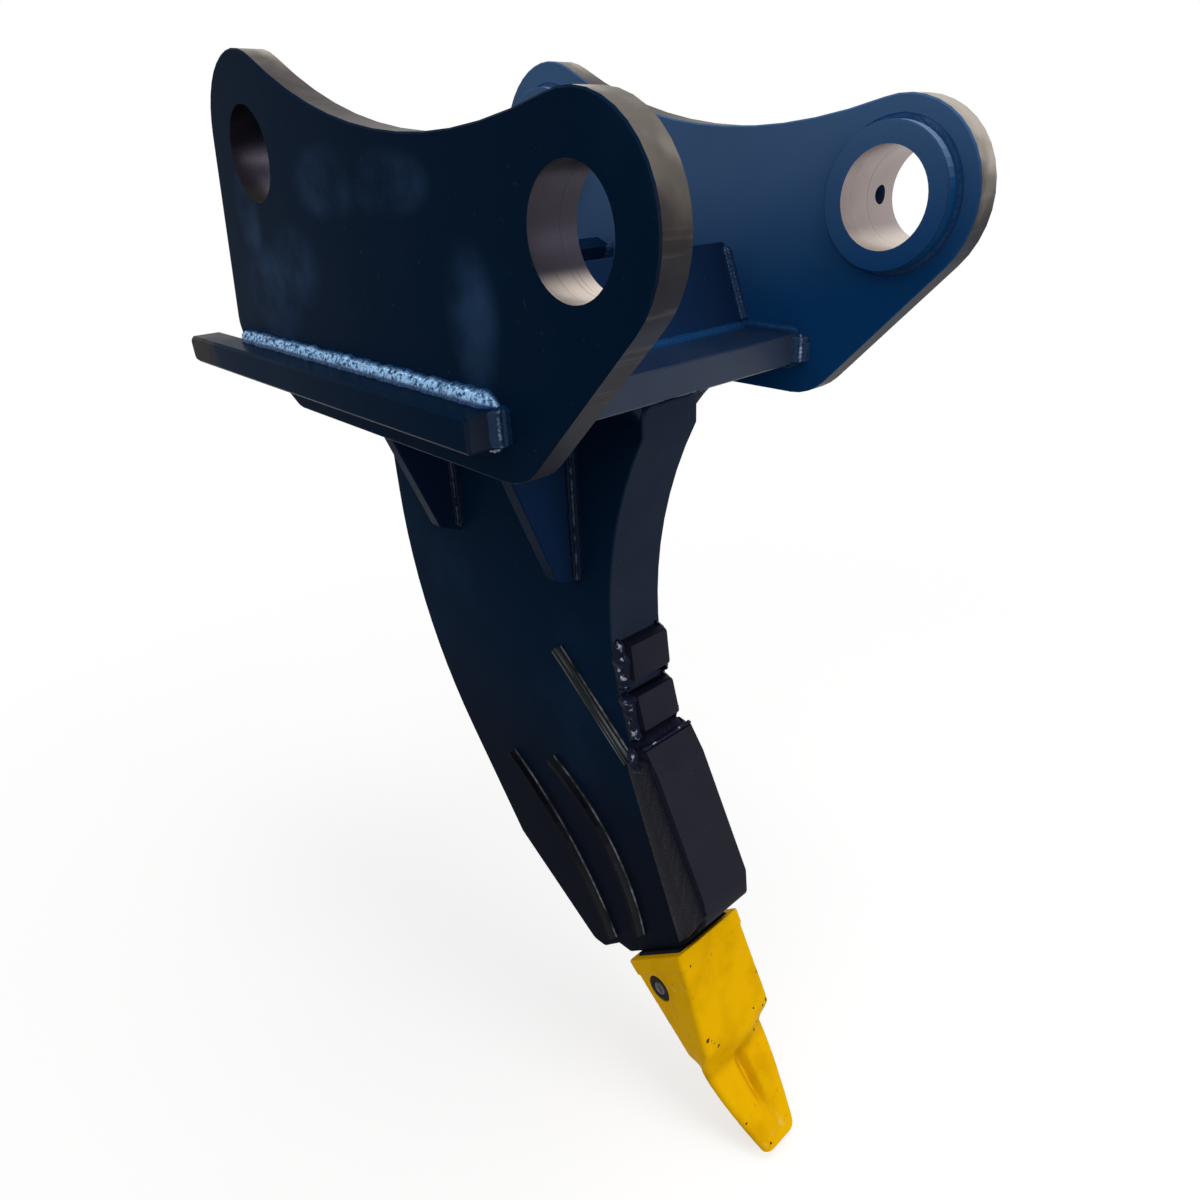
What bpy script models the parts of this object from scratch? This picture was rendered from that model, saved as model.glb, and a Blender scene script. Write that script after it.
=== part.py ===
"""Ripper shank tooth: a single digging shank that hangs on an excavator's two bucket pins.

Two ears carry the pins. A base plate joins them, a thick curved shank hangs under the
plate, and a replaceable tooth sits on the shank's lower end.

Frame: the origin lies on the front pin's axis, midway between the ears. +X is the
digging side, +Y points to the left ear, and +Z stands square on the base plate.
Lengths are metres and angles are radians.
"""

import math

import bmesh
import bpy
from mathutils import Matrix, Vector

# Clearance that two pieces keep where they are welded or seated face to face
SEAM = 0.0003

# Pins of a thirty tonne excavator
PIN_DIAMETER = 0.090
PIN_PLAY = 0.0005
PIN_SPACING = 0.505
PIN_LINE_TILT = math.radians(7.3)

# Ears, bosses and pin locking collars
STICK_GAP = 0.336
BOSS_STANDOUT = 0.0165
BOSS_WALL = 0.0195
EAR_THICKNESS = 0.030
FRONT_LOBE_WALL = 0.040
REAR_LOBE_WALL = 0.047
SADDLE_RADIUS = 0.630
EAR_FRONT_SLOPE = math.radians(45.0)
EAR_REAR_LEAN = math.radians(14.0)
EAR_SKIRT = 0.0335
EAR_TOE_RADIUS = 0.060
EAR_HEEL_RUN = 0.139
EAR_HEEL_RISE = 0.072
EAR_HEEL_RADIUS = 0.025
COLLAR_WIDTH = 0.047
COLLAR_WALL = 0.015
LOCK_BOLT_HOLE = 0.018

# Base plate and the bars that run along the ears' outer faces
PLATE_DROP = 0.1325
PLATE_THICKNESS = 0.032
PLATE_FRONT_SETBACK = 0.094
PLATE_LENGTH = 0.546
BAR_WIDTH = 0.038
BAR_TAIL = 0.080
BAR_TAIL_RADIUS = 0.009

# Leaning cross plates between the ears
CROSS_THICKNESS = 0.025
CROSS_LENGTH = 0.095
CROSS_LEAN = math.radians(21.0)
FRONT_CROSS_SETBACK = 0.0755
REAR_CROSS_SETBACK = 0.190

# Shank: a concave front edge, a convex rear edge and a heel behind the tooth
SHANK_THICKNESS = 0.080
SHANK_FRONT_SETBACK = 0.018
SHANK_REAR_SETBACK = 0.007
WAIST_DEPTH = 0.0596
WAIST_DROP = 0.2655
FRONT_ARC_RADIUS = 0.468
FRONT_RAKE = math.radians(26.5)
REAR_ARC_DROP = 0.2135
REAR_ARC_RADIUS = 0.630
REAR_RAKE = math.radians(36.0)
HEEL_SLOPE = math.radians(33.0)
HEEL_BACK = 0.171
HEEL_FRONT = 0.152
HEEL_LIFT = 0.030
HEEL_DROP = 0.016
HEEL_RADIUS = 0.014
NOTCH_BACK = 0.106
NOTCH_LIFT = 0.018
END_BACK = 0.086
END_FRONT = 0.049
TOE_CUT = math.radians(60.0)

# Gussets between the shank's sides and the base plate
GUSSET_THICKNESS = 0.022
GUSSET_TOP = 0.115
GUSSET_NOSE = 0.031
GUSSET_HEIGHT = 0.235
GUSSET_NOSE_RISE = 0.013
FRONT_GUSSET_SETBACK = 0.131
REAR_GUSSET_SETBACK = 0.146

# Wear blocks and shroud on the front edge, placed by their distance past the waist
BLOCK_LENGTH = 0.050
BLOCK_THICKNESS = 0.023
BLOCK_WIDTH = 0.062
FIRST_BLOCK_AT = 0.054
BLOCK_PITCH = 0.0695
BLOCK_BEVEL = 0.004
SHROUD_WIDTH = 0.085
SHROUD_THICKNESS = 0.0325
SHROUD_TOP_THICKNESS = 0.024
SHROUD_GAP = 0.020
SHROUD_TOP_RUN = 0.040
SHROUD_NOSE_THICKNESS = 0.020
SHROUD_NOSE_RUN = 0.032

# Wear strips on the shank's sides: a straight one that runs down to the shroud's top,
# and two bowed ones that end above the tooth's mouth
STRIP_WIDTH = 0.016
STRIP_THICKNESS = 0.010
STRIP_CROWN = 0.008
UPPER_STRIP_LENGTH = 0.169
UPPER_STRIP_DIP = math.radians(40.3)
UPPER_STRIP_OVERLAP = 0.018
UPPER_STRIP_INSET = 0.010
STRIP_END_LIFT = 0.030
MIDDLE_STRIP_BELOW = 0.030
MIDDLE_STRIP_LENGTH = 0.269
MIDDLE_STRIP_SLANT = math.radians(4.1)
MIDDLE_STRIP_RISE = 0.034
LOWER_STRIP_BELOW = 0.109
LOWER_STRIP_LENGTH = 0.305
LOWER_STRIP_SLANT = math.radians(0.2)
LOWER_STRIP_RISE = 0.022

# Tooth: its mouth's middle, the dip of its axis, and its box, shoulder and blade
MOUTH_DROP = 0.910
MOUTH_SETBACK = 0.0936
TOOTH_DIP = math.radians(46.7)
TOOTH_LENGTH = 0.307
MOUTH_FRONT = 0.0620
MOUTH_REAR = 0.0680
MOUTH_HALF_WIDTH = 0.0575
RIM_LENGTH = 0.0205
RIM_LIP = 0.0015
MOUTH_CHAMFER = 0.003
BOX_LENGTH = 0.137
BOX_END_FRONT = 0.012
BOX_END_REAR = 0.052
BOX_END_HALF_WIDTH = 0.0655
BOX_REAR_HALF_WIDTH = 0.0595
SHOULDER_RUN = 0.033
SHOULDER_BOW = 0.012
BLADE_FRONT = -0.024
BLADE_HALF_WIDTH = 0.0585
BLADE_REAR = -0.0525
BLADE_REAR_NARROWING = 0.0075
TIP_FRONT = -0.035
TIP_HALF_WIDTH = 0.030
TIP_RADIUS = 0.010
FRONT_CORNER_RADIUS = 0.009
MOUTH_CORNER_RADIUS = 0.006
REAR_CORNER_RADIUS = 0.012
BLADE_TAPER_POWER = 1.4
GROOVE_DEPTH = 0.010
GROOVE_HALF_WIDTH = 0.014
GROOVE_END_HALF_WIDTH = 0.007
GROOVE_START = 0.006
GROOVE_LENGTH = 0.112
GROOVE_FADE_IN = 0.22
GROOVE_FADE_OUT = 0.5

# Nose inside the tooth, with the pin that locks the two together
MOUTH_GAP = 0.003
NOSE_LENGTH = 0.125
NOSE_FRONT = 0.052
NOSE_REAR = 0.058
NOSE_HALF_WIDTH = 0.047
NOSE_TIP_FRONT = -0.004
NOSE_TIP_REAR = 0.040
NOSE_TIP_HALF_WIDTH = 0.034
NOSE_CLEARANCE = 0.0006
LOCK_PIN_DIAMETER = 0.020
LOCK_PIN_ALONG = 0.043
LOCK_PIN_BELOW = 0.026
LOCK_RING_WALL = 0.0085
LOCK_RING_WIDTH = 0.006
LOCK_RING_DEPTH = 0.0015

# Small edge breaks, and how finely round shapes are divided
PLATE_EDGE = 0.0015
CHORD_ERROR = 0.0003
BORE_SEGMENTS = 48
PIN_SEGMENTS = 24
SEAT_STEPS = 4
STRIP_STEPS = 10
CORNER_STEPS = 4
CROWN_STEPS = 3
RIM_STEPS = 3
BOX_STEPS = 3
SHOULDER_STEPS = 8
BLADE_STEPS = 8
TIP_STEPS = 4

# Sizes that follow from the driving ones
BORE_RADIUS = (PIN_DIAMETER + PIN_PLAY) / 2
FRONT_PIN = Vector((0.0, 0.0))
REAR_PIN = Vector((-math.cos(PIN_LINE_TILT), math.sin(PIN_LINE_TILT))) * PIN_SPACING
BOSS_FACE = STICK_GAP / 2
EAR_INNER = BOSS_FACE + BOSS_STANDOUT
EAR_OUTER = EAR_INNER + EAR_THICKNESS
PLATE_TOP = -PLATE_DROP
PLATE_BOTTOM = PLATE_TOP - PLATE_THICKNESS
PLATE_FRONT = -PLATE_FRONT_SETBACK
PLATE_REAR = PLATE_FRONT - PLATE_LENGTH
SHANK_TOP = PLATE_BOTTOM - SEAM
SHANK_SIDE = SHANK_THICKNESS / 2
SHANK_FRONT = PLATE_FRONT - SHANK_FRONT_SETBACK
SHANK_REAR = PLATE_REAR + SHANK_REAR_SETBACK
FRONT_ARC_CENTRE = Vector((SHANK_FRONT - WAIST_DEPTH + FRONT_ARC_RADIUS, PLATE_BOTTOM - WAIST_DROP))
REAR_ARC_CENTRE = Vector((SHANK_REAR + REAR_ARC_RADIUS, PLATE_BOTTOM - REAR_ARC_DROP))
MOUTH_CENTRE = Vector((-MOUTH_SETBACK, -MOUTH_DROP))
TOOTH_AXIS = Vector((math.cos(TOOTH_DIP), -math.sin(TOOTH_DIP)))
TOOTH_UP = Vector((math.sin(TOOTH_DIP), math.cos(TOOTH_DIP)))
LOCK_PIN_RADIUS = LOCK_PIN_DIAMETER / 2


def clear_scene():
    """Remove every object that is in the file."""
    for item in list(bpy.data.objects):
        bpy.data.objects.remove(item, do_unlink=True)


def make_material(name, colour, roughness, metallic):
    """Return a Principled material of one colour."""
    material = bpy.data.materials.new(name)
    material.use_nodes = True
    shader = material.node_tree.nodes["Principled BSDF"]
    shader.inputs["Base Color"].default_value = (*colour, 1.0)
    shader.inputs["Roughness"].default_value = roughness
    shader.inputs["Metallic"].default_value = metallic
    return material


def mix(first, last, share):
    """Return the value that lies share of the way from first to last."""
    return first + (last - first) * share


def spread(first, last, steps):
    """Return even places after first, up to and with last."""
    return [mix(first, last, step / steps) for step in range(1, steps + 1)]


def blend(share):
    """Return a smooth step from 0 to 1."""
    share = min(max(share, 0.0), 1.0)
    return share * share * (3 - 2 * share)


def arc(centre, radius, start, end, steps=0):
    """Return the points of an arc from angle start to angle end, both ends included.

    Where no number of steps is given, the chords stay within CHORD_ERROR of the arc.
    """
    if not steps:
        step_angle = 2 * math.acos(1 - CHORD_ERROR / radius)
        steps = math.ceil(abs(end - start) / step_angle)
    points = []
    for step in range(steps + 1):
        angle = start + (end - start) * step / steps
        points.append(centre + Vector((math.cos(angle), math.sin(angle))) * radius)
    return points


def crossing(point_a, direction_a, point_b, direction_b):
    """Return the point where two straight lines of the XZ plane cross."""
    across = direction_a.x * direction_b.y - direction_a.y * direction_b.x
    offset = point_b - point_a
    along = (offset.x * direction_b.y - offset.y * direction_b.x) / across
    return point_a + direction_a * along


def fillet(before, corner, after, radius):
    """Return the arc that rounds a corner between two straight edges."""
    incoming = (before - corner).normalized()
    outgoing = (after - corner).normalized()
    half = incoming.angle(outgoing) / 2
    reach = radius / math.tan(half)
    centre = corner + (incoming + outgoing).normalized() * (radius / math.sin(half))
    first = corner + incoming * reach - centre
    last = corner + outgoing * reach - centre
    start = math.atan2(first.y, first.x)
    turn = math.atan2(first.x * last.y - first.y * last.x, first.dot(last))
    return arc(centre, radius, start, start + turn)


def tooth_frame(along, above):
    """Turn distances along and above the tooth's axis into a place in the XZ plane."""
    return MOUTH_CENTRE + TOOTH_AXIS * along + TOOTH_UP * above


def front_edge(distance, offset):
    """Return a place that lies offset in front of the shank's front edge.

    The distance is measured down the edge from the waist: first round the concave
    arc, then along the straight stretch that meets it in one tangent.
    """
    arc_length = FRONT_ARC_RADIUS * FRONT_RAKE
    angle = min(distance / FRONT_ARC_RADIUS, FRONT_RAKE)
    inward = Vector((math.cos(angle), math.sin(angle)))
    place = FRONT_ARC_CENTRE - inward * (FRONT_ARC_RADIUS - offset)
    beyond = max(distance - arc_length, 0.0)
    return place + Vector((math.sin(angle), -math.cos(angle))) * beyond


def toe_corner():
    """Return the shank's lower front corner and its distance past the waist."""
    arc_length = FRONT_ARC_RADIUS * FRONT_RAKE
    straight_start = front_edge(arc_length, 0.0)
    straight = Vector((math.sin(FRONT_RAKE), -math.cos(FRONT_RAKE)))
    cut = Vector((math.cos(TOE_CUT), math.sin(TOE_CUT)))
    corner = crossing(straight_start, straight, tooth_frame(-MOUTH_GAP, END_FRONT), cut)
    return corner, arc_length + (corner - straight_start).length


def new_object(name, mesh, material, parent=None):
    """Link a mesh to the scene as a named piece with one material."""
    mesh.materials.clear()
    mesh.materials.append(material)
    mesh.shade_smooth()
    mesh.set_sharp_from_angle(angle=math.radians(30.0))
    item = bpy.data.objects.new(name, mesh)
    bpy.context.scene.collection.objects.link(item)
    item.parent = parent
    return item


def mesh_from_bmesh(name, shape):
    """Turn a closed bmesh into a mesh whose faces point out."""
    bmesh.ops.recalc_face_normals(shape, faces=shape.faces)
    mesh = bpy.data.meshes.new(name)
    shape.to_mesh(mesh)
    shape.free()
    return mesh


def prism_mesh(name, outline, low, high):
    """Extrude an XZ outline along Y from low to high."""
    shape = bmesh.new()
    near = [shape.verts.new((point[0], low, point[1])) for point in outline]
    far = [shape.verts.new((point[0], high, point[1])) for point in outline]
    shape.faces.new(near)
    shape.faces.new(far)
    count = len(outline)
    for index in range(count):
        following = (index + 1) % count
        shape.faces.new((near[index], near[following], far[following], far[index]))
    return mesh_from_bmesh(name, shape)


def loft_mesh(name, sections):
    """Skin closed sections of equal point count and cap both ends."""
    shape = bmesh.new()
    rings = [[shape.verts.new(point) for point in section] for section in sections]
    for ring, following_ring in zip(rings, rings[1:]):
        count = len(ring)
        for index in range(count):
            following = (index + 1) % count
            shape.faces.new((ring[index], ring[following], following_ring[following], following_ring[index]))
    shape.faces.new(rings[0])
    shape.faces.new(rings[-1])
    return mesh_from_bmesh(name, shape)


def ring_mesh(name, outer, inner, low, high, edge, segments):
    """Turn a flat ring about the Y axis, with its outer edges broken."""
    profile = (
        (inner, low), (outer - edge, low), (outer, low + edge),
        (outer, high - edge), (outer - edge, high), (inner, high),
    )
    shape = bmesh.new()
    loops = []
    for step in range(segments):
        angle = 2 * math.pi * step / segments
        loops.append([
            shape.verts.new((radius * math.cos(angle), along, radius * math.sin(angle)))
            for radius, along in profile
        ])
    count = len(profile)
    for step in range(segments):
        loop = loops[step]
        following_loop = loops[(step + 1) % segments]
        for index in range(count):
            following = (index + 1) % count
            shape.faces.new((loop[index], loop[following], following_loop[following], following_loop[index]))
    return mesh_from_bmesh(name, shape)


def cylinder_mesh(name, radius, length, segments, axis):
    """Return a closed cylinder about its own middle, along X or Y."""
    shape = bmesh.new()
    turn = Matrix.Rotation(math.pi / 2, 4, "Y" if axis == "X" else "X")
    bmesh.ops.create_cone(
        shape, cap_ends=True, segments=segments, radius1=radius, radius2=radius,
        depth=length, matrix=turn,
    )
    return mesh_from_bmesh(name, shape)


def bevel_edges(item, width, segments=1):
    """Break the sharp edges of a piece."""
    bevel = item.modifiers.new("edge_break", "BEVEL")
    bevel.width = width
    bevel.segments = segments
    bevel.limit_method = "ANGLE"
    bevel.angle_limit = math.radians(30.0)


def cut(item, cutter):
    """Subtract a cutter from a piece."""
    boolean = item.modifiers.new("cut", "BOOLEAN")
    boolean.operation = "DIFFERENCE"
    boolean.object = cutter


def make_cutter(name, mesh, location=(0.0, 0.0, 0.0), parent=None):
    """Link a mesh as a hidden cutter."""
    cutter = bpy.data.objects.new(name, mesh)
    bpy.context.scene.collection.objects.link(cutter)
    cutter.location = location
    cutter.parent = parent
    cutter.display_type = "WIRE"
    cutter.hide_render = True
    return cutter


def ear_outline():
    """Return an ear's outline: two lobes, a saddle, a sloped front and a cut heel."""
    front_radius = BORE_RADIUS + FRONT_LOBE_WALL
    rear_radius = BORE_RADIUS + REAR_LOBE_WALL
    bottom = PLATE_BOTTOM - EAR_SKIRT

    # The saddle's arc touches both lobes from outside, so its centre lies above the pins
    pin_line = (REAR_PIN - FRONT_PIN).normalized()
    above = Vector((-pin_line.y, pin_line.x)) * -1.0
    reach_front = SADDLE_RADIUS + front_radius
    reach_rear = SADDLE_RADIUS + rear_radius
    along = (PIN_SPACING ** 2 + reach_front ** 2 - reach_rear ** 2) / (2 * PIN_SPACING)
    height = math.sqrt(reach_front ** 2 - along ** 2)
    saddle_centre = FRONT_PIN + pin_line * along + above * height

    to_front = FRONT_PIN - saddle_centre
    to_rear = REAR_PIN - saddle_centre
    saddle_start = math.atan2(to_front.y, to_front.x)
    saddle_end = math.atan2(to_rear.y, to_rear.x)

    front_normal = Vector((math.sin(EAR_FRONT_SLOPE), -math.cos(EAR_FRONT_SLOPE)))
    front_tangent = FRONT_PIN + front_normal * front_radius
    front_run = Vector((-math.cos(EAR_FRONT_SLOPE), -math.sin(EAR_FRONT_SLOPE)))
    rear_normal = Vector((-math.cos(EAR_REAR_LEAN), math.sin(EAR_REAR_LEAN)))
    rear_tangent = REAR_PIN + rear_normal * rear_radius
    rear_run = Vector((-math.sin(EAR_REAR_LEAN), -math.cos(EAR_REAR_LEAN)))

    level = Vector((1.0, 0.0))
    toe = crossing(front_tangent, front_run, Vector((0.0, bottom)), level)
    heel_top = crossing(rear_tangent, rear_run, Vector((0.0, bottom + EAR_HEEL_RISE)), level)
    heel_low = Vector((heel_top.x + EAR_HEEL_RUN, bottom))

    points = arc(saddle_centre, SADDLE_RADIUS, saddle_start, saddle_end)
    lobe_start = math.atan2(-to_rear.y, -to_rear.x)
    lobe_end = math.atan2(rear_normal.y, rear_normal.x)
    points += arc(REAR_PIN, rear_radius, lobe_start, lobe_end)[1:]
    points += fillet(rear_tangent, heel_top, heel_low, EAR_HEEL_RADIUS)
    points += fillet(heel_top, heel_low, toe, EAR_HEEL_RADIUS)
    points += fillet(heel_low, toe, front_tangent, EAR_TOE_RADIUS)
    lobe_start = math.atan2(front_normal.y, front_normal.x)
    lobe_end = math.atan2(-to_front.y, -to_front.x)
    points += arc(FRONT_PIN, front_radius, lobe_start, lobe_end)[:-1]
    return points


def shank_outline():
    """Return the shank's outline, from its top front corner round to its top rear corner."""
    edge_reach = FRONT_ARC_RADIUS - WAIST_DEPTH
    top_angle = math.acos(edge_reach / FRONT_ARC_RADIUS)
    points = [Vector((SHANK_FRONT, SHANK_TOP))]
    points += arc(FRONT_ARC_CENTRE, FRONT_ARC_RADIUS, math.pi - top_angle, math.pi + FRONT_RAKE)
    points.append(toe_corner()[0])
    points.append(tooth_frame(-MOUTH_GAP, END_FRONT))
    points.append(tooth_frame(-MOUTH_GAP, -END_BACK))
    points.append(tooth_frame(-NOTCH_LIFT, -NOTCH_BACK))

    # The heel is rounded where its short underside meets the long slope behind it
    heel_front = tooth_frame(-HEEL_DROP, -HEEL_FRONT)
    heel_back = tooth_frame(-HEEL_LIFT, -HEEL_BACK)
    slope = Vector((-math.cos(HEEL_SLOPE), math.sin(HEEL_SLOPE)))
    rear_normal = Vector((-math.cos(REAR_RAKE), -math.sin(REAR_RAKE)))
    rear_tangent = REAR_ARC_CENTRE + rear_normal * REAR_ARC_RADIUS
    rear_run = Vector((math.sin(REAR_RAKE), -math.cos(REAR_RAKE)))
    slope_top = crossing(rear_tangent, rear_run, heel_back, slope)
    points += fillet(tooth_frame(-NOTCH_LIFT, -NOTCH_BACK), heel_front, heel_back, HEEL_RADIUS / 2)
    points += fillet(heel_front, heel_back, slope_top, HEEL_RADIUS)
    points.append(slope_top)
    points += arc(REAR_ARC_CENTRE, REAR_ARC_RADIUS, math.pi + REAR_RAKE, math.pi)
    points.append(Vector((SHANK_REAR, SHANK_TOP)))
    return points


def make_ears(paint):
    """Build both ears, each bored for the two pins."""
    outline = ear_outline()
    length = 2 * EAR_OUTER
    bores = []
    for name, pin in (("front_bore", FRONT_PIN), ("rear_bore", REAR_PIN)):
        mesh = cylinder_mesh(name, BORE_RADIUS, 2 * length, BORE_SEGMENTS, "Y")
        bores.append(make_cutter(name, mesh, (pin.x, 0.0, pin.y)))
    for name, low, high in (
        ("right_ear", -EAR_OUTER, -EAR_INNER),
        ("left_ear", EAR_INNER, EAR_OUTER),
    ):
        ear = new_object(name, prism_mesh(name, outline, low, high), paint)
        bevel_edges(ear, PLATE_EDGE)
        for bore in bores:
            cut(ear, bore)


def make_bosses_and_collars(paint):
    """Build the four bosses inside the ears and the two locking collars outside the left ear."""
    boss = ring_mesh(
        "boss", BORE_RADIUS + BOSS_WALL, BORE_RADIUS, SEAM / 2, BOSS_STANDOUT - SEAM / 2,
        PLATE_EDGE, BORE_SEGMENTS,
    )
    for place, pin in (("front", FRONT_PIN), ("rear", REAR_PIN)):
        for side, start in (("right", -EAR_INNER), ("left", BOSS_FACE)):
            item = new_object(f"{side}_{place}_boss", boss, paint)
            item.location = (pin.x, start, pin.y)

        name = f"left_{place}_collar"
        collar = new_object(
            name,
            ring_mesh(
                name, BORE_RADIUS + COLLAR_WALL, BORE_RADIUS, SEAM, COLLAR_WIDTH,
                PLATE_EDGE, BORE_SEGMENTS,
            ),
            paint,
        )
        collar.location = (pin.x, EAR_OUTER, pin.y)
        hole = cylinder_mesh(
            f"{place}_lock_hole", LOCK_BOLT_HOLE / 2, 3 * (BORE_RADIUS + COLLAR_WALL),
            PIN_SEGMENTS, "X",
        )
        middle = (pin.x, EAR_OUTER + COLLAR_WIDTH / 2, pin.y)
        cut(collar, make_cutter(f"{place}_lock_hole", hole, middle))


def make_base(paint):
    """Build the base plate, the outer bars and the two leaning cross plates."""
    plate_outline = [
        (PLATE_FRONT, PLATE_BOTTOM), (PLATE_FRONT, PLATE_TOP),
        (PLATE_REAR, PLATE_TOP), (PLATE_REAR, PLATE_BOTTOM),
    ]
    half_width = EAR_INNER - SEAM
    mesh = prism_mesh("base_plate", plate_outline, -half_width, half_width)
    bevel_edges(new_object("base_plate", mesh, paint), PLATE_EDGE)

    # The bars' tails are rounded where they stick out behind the plate
    front_low, front_high = Vector((PLATE_FRONT, PLATE_BOTTOM)), Vector((PLATE_FRONT, PLATE_TOP))
    tail_high, tail_low = (Vector((PLATE_REAR - BAR_TAIL, level)) for level in (PLATE_TOP, PLATE_BOTTOM))
    bar_outline = [front_low, front_high]
    bar_outline += fillet(front_high, tail_high, tail_low, BAR_TAIL_RADIUS)
    bar_outline += fillet(tail_high, tail_low, front_low, BAR_TAIL_RADIUS)
    bar_inner = EAR_OUTER + SEAM
    bar_outer = EAR_OUTER + BAR_WIDTH
    for name, low, high in (
        ("right_side_bar", -bar_outer, -bar_inner),
        ("left_side_bar", bar_inner, bar_outer),
    ):
        bevel_edges(new_object(name, prism_mesh(name, bar_outline, low, high), paint), 2 * PLATE_EDGE)

    foot_level = PLATE_TOP + SEAM
    for name, foot, lean in (
        ("front_cross_plate", PLATE_FRONT - FRONT_CROSS_SETBACK, -1.0),
        ("rear_cross_plate", PLATE_REAR + REAR_CROSS_SETBACK, 1.0),
    ):
        rise = Vector((lean * math.sin(CROSS_LEAN), math.cos(CROSS_LEAN)))
        back = Vector((lean * math.cos(CROSS_LEAN), -math.sin(CROSS_LEAN)))
        bottom_front = Vector((foot, foot_level))
        top_front = bottom_front + rise * CROSS_LENGTH
        top_back = top_front + back * CROSS_THICKNESS
        bottom_back = bottom_front + Vector((lean * CROSS_THICKNESS / math.cos(CROSS_LEAN), 0.0))
        outline = [bottom_front, top_front, top_back, bottom_back]
        mesh = prism_mesh(name, outline, -half_width, half_width)
        bevel_edges(new_object(name, mesh, paint), PLATE_EDGE)


def make_shank(paint):
    """Build the shank and the four gussets that brace its top."""
    mesh = prism_mesh("shank", shank_outline(), -SHANK_SIDE, SHANK_SIDE)
    bevel_edges(new_object("shank", mesh, paint), PLATE_EDGE)

    front = PLATE_FRONT - FRONT_GUSSET_SETBACK
    rear = PLATE_REAR + REAR_GUSSET_SETBACK + GUSSET_THICKNESS
    start = SHANK_SIDE + SEAM
    top = PLATE_BOTTOM - SEAM
    for place, face in (("front", front), ("rear", rear)):
        for side, sign in (("right", -1.0), ("left", 1.0)):
            outline = (
                (start, top), (start, PLATE_BOTTOM - GUSSET_HEIGHT),
                (SHANK_SIDE + GUSSET_NOSE, PLATE_BOTTOM - GUSSET_HEIGHT + GUSSET_NOSE_RISE),
                (SHANK_SIDE + GUSSET_TOP, top),
            )
            name = f"{side}_{place}_gusset"
            sections = [
                [(face - depth, sign * across, height) for across, height in outline]
                for depth in (0.0, GUSSET_THICKNESS)
            ]
            bevel_edges(new_object(name, loft_mesh(name, sections), paint), PLATE_EDGE)


def make_front_armour(paint):
    """Build the two wear blocks and the shroud that follow the shank's front edge."""
    for index, name in enumerate(("upper_wear_block", "lower_wear_block")):
        middle = FIRST_BLOCK_AT + index * BLOCK_PITCH
        start = middle - BLOCK_LENGTH / 2
        end = start + BLOCK_LENGTH
        seat = [front_edge(place, SEAM) for place in [start] + spread(start, end, SEAT_STEPS)]
        face_start = front_edge(start, BLOCK_THICKNESS)
        face_end = front_edge(end, BLOCK_THICKNESS)
        mesh = prism_mesh(name, seat + [face_end, face_start], -BLOCK_WIDTH / 2, BLOCK_WIDTH / 2)
        bevel_edges(new_object(name, mesh, paint), BLOCK_BEVEL, 2)

    top = shroud_top()
    arc_end = FRONT_ARC_RADIUS * FRONT_RAKE
    toe, toe_at = toe_corner()
    nose = Vector((math.cos(TOE_CUT), math.sin(TOE_CUT)))
    front_normal = Vector((math.cos(FRONT_RAKE), math.sin(FRONT_RAKE)))
    nose_corner = toe + nose * (SHROUD_NOSE_THICKNESS / nose.dot(front_normal))
    seat_end = toe + nose * (SEAM / nose.dot(front_normal))
    nose_at = toe_at - (toe + front_normal * SHROUD_NOSE_THICKNESS - nose_corner).length
    seat = [front_edge(place, SEAM) for place in [top] + spread(top, arc_end, SEAT_STEPS)]
    outline = seat + [
        seat_end, nose_corner,
        front_edge(nose_at - SHROUD_NOSE_RUN, SHROUD_THICKNESS),
        front_edge(top + SHROUD_TOP_RUN, SHROUD_THICKNESS),
        front_edge(top, SHROUD_TOP_THICKNESS),
    ]
    mesh = prism_mesh("front_shroud", outline, -SHROUD_WIDTH / 2, SHROUD_WIDTH / 2)
    bevel_edges(new_object("front_shroud", mesh, paint), 2 * PLATE_EDGE)


def shroud_top():
    """Return the shroud's start, as a distance past the waist."""
    return FIRST_BLOCK_AT + BLOCK_PITCH + BLOCK_LENGTH / 2 + SHROUD_GAP


def bowed_strip_ends(below, length, slant):
    """Return both ends of a bowed strip, from its lower end's place over the mouth."""
    lower = tooth_frame(-STRIP_END_LIFT, -below)
    run = TOOTH_AXIS * math.cos(slant) - TOOTH_UP * math.sin(slant)
    return lower - run * length, lower


def upper_strip_ends():
    """Return both ends of the straight strip that meets the shroud's top."""
    lower = front_edge(shroud_top() + UPPER_STRIP_OVERLAP, -UPPER_STRIP_INSET)
    run = Vector((math.cos(UPPER_STRIP_DIP), -math.sin(UPPER_STRIP_DIP)))
    return lower - run * UPPER_STRIP_LENGTH, lower


def strip_sections(ends, rise, side):
    """Return the sections of a wear strip that follows a shallow arc on one side face."""
    steps = STRIP_STEPS if rise else 1
    first, last = ends
    chord = last - first
    normal = Vector((-chord.y, chord.x)).normalized()
    low = SHANK_SIDE + SEAM
    high = SHANK_SIDE + STRIP_THICKNESS
    crown = STRIP_CROWN / STRIP_WIDTH
    sections = []
    for step in range(steps + 1):
        share = step / steps
        lift = 4 * rise * share * (1 - share)
        climb = 4 * rise * (1 - 2 * share) / chord.length
        across = (normal - chord.normalized() * climb).normalized() * (STRIP_WIDTH / 2)
        middle = first + chord * share + normal * lift
        edge_a = middle - across
        edge_b = middle + across
        crown_a = middle - across * crown
        crown_b = middle + across * crown
        sections.append([
            (edge_a.x, side * low, edge_a.y), (edge_b.x, side * low, edge_b.y),
            (crown_b.x, side * high, crown_b.y), (crown_a.x, side * high, crown_a.y),
        ])
    return sections


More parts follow.
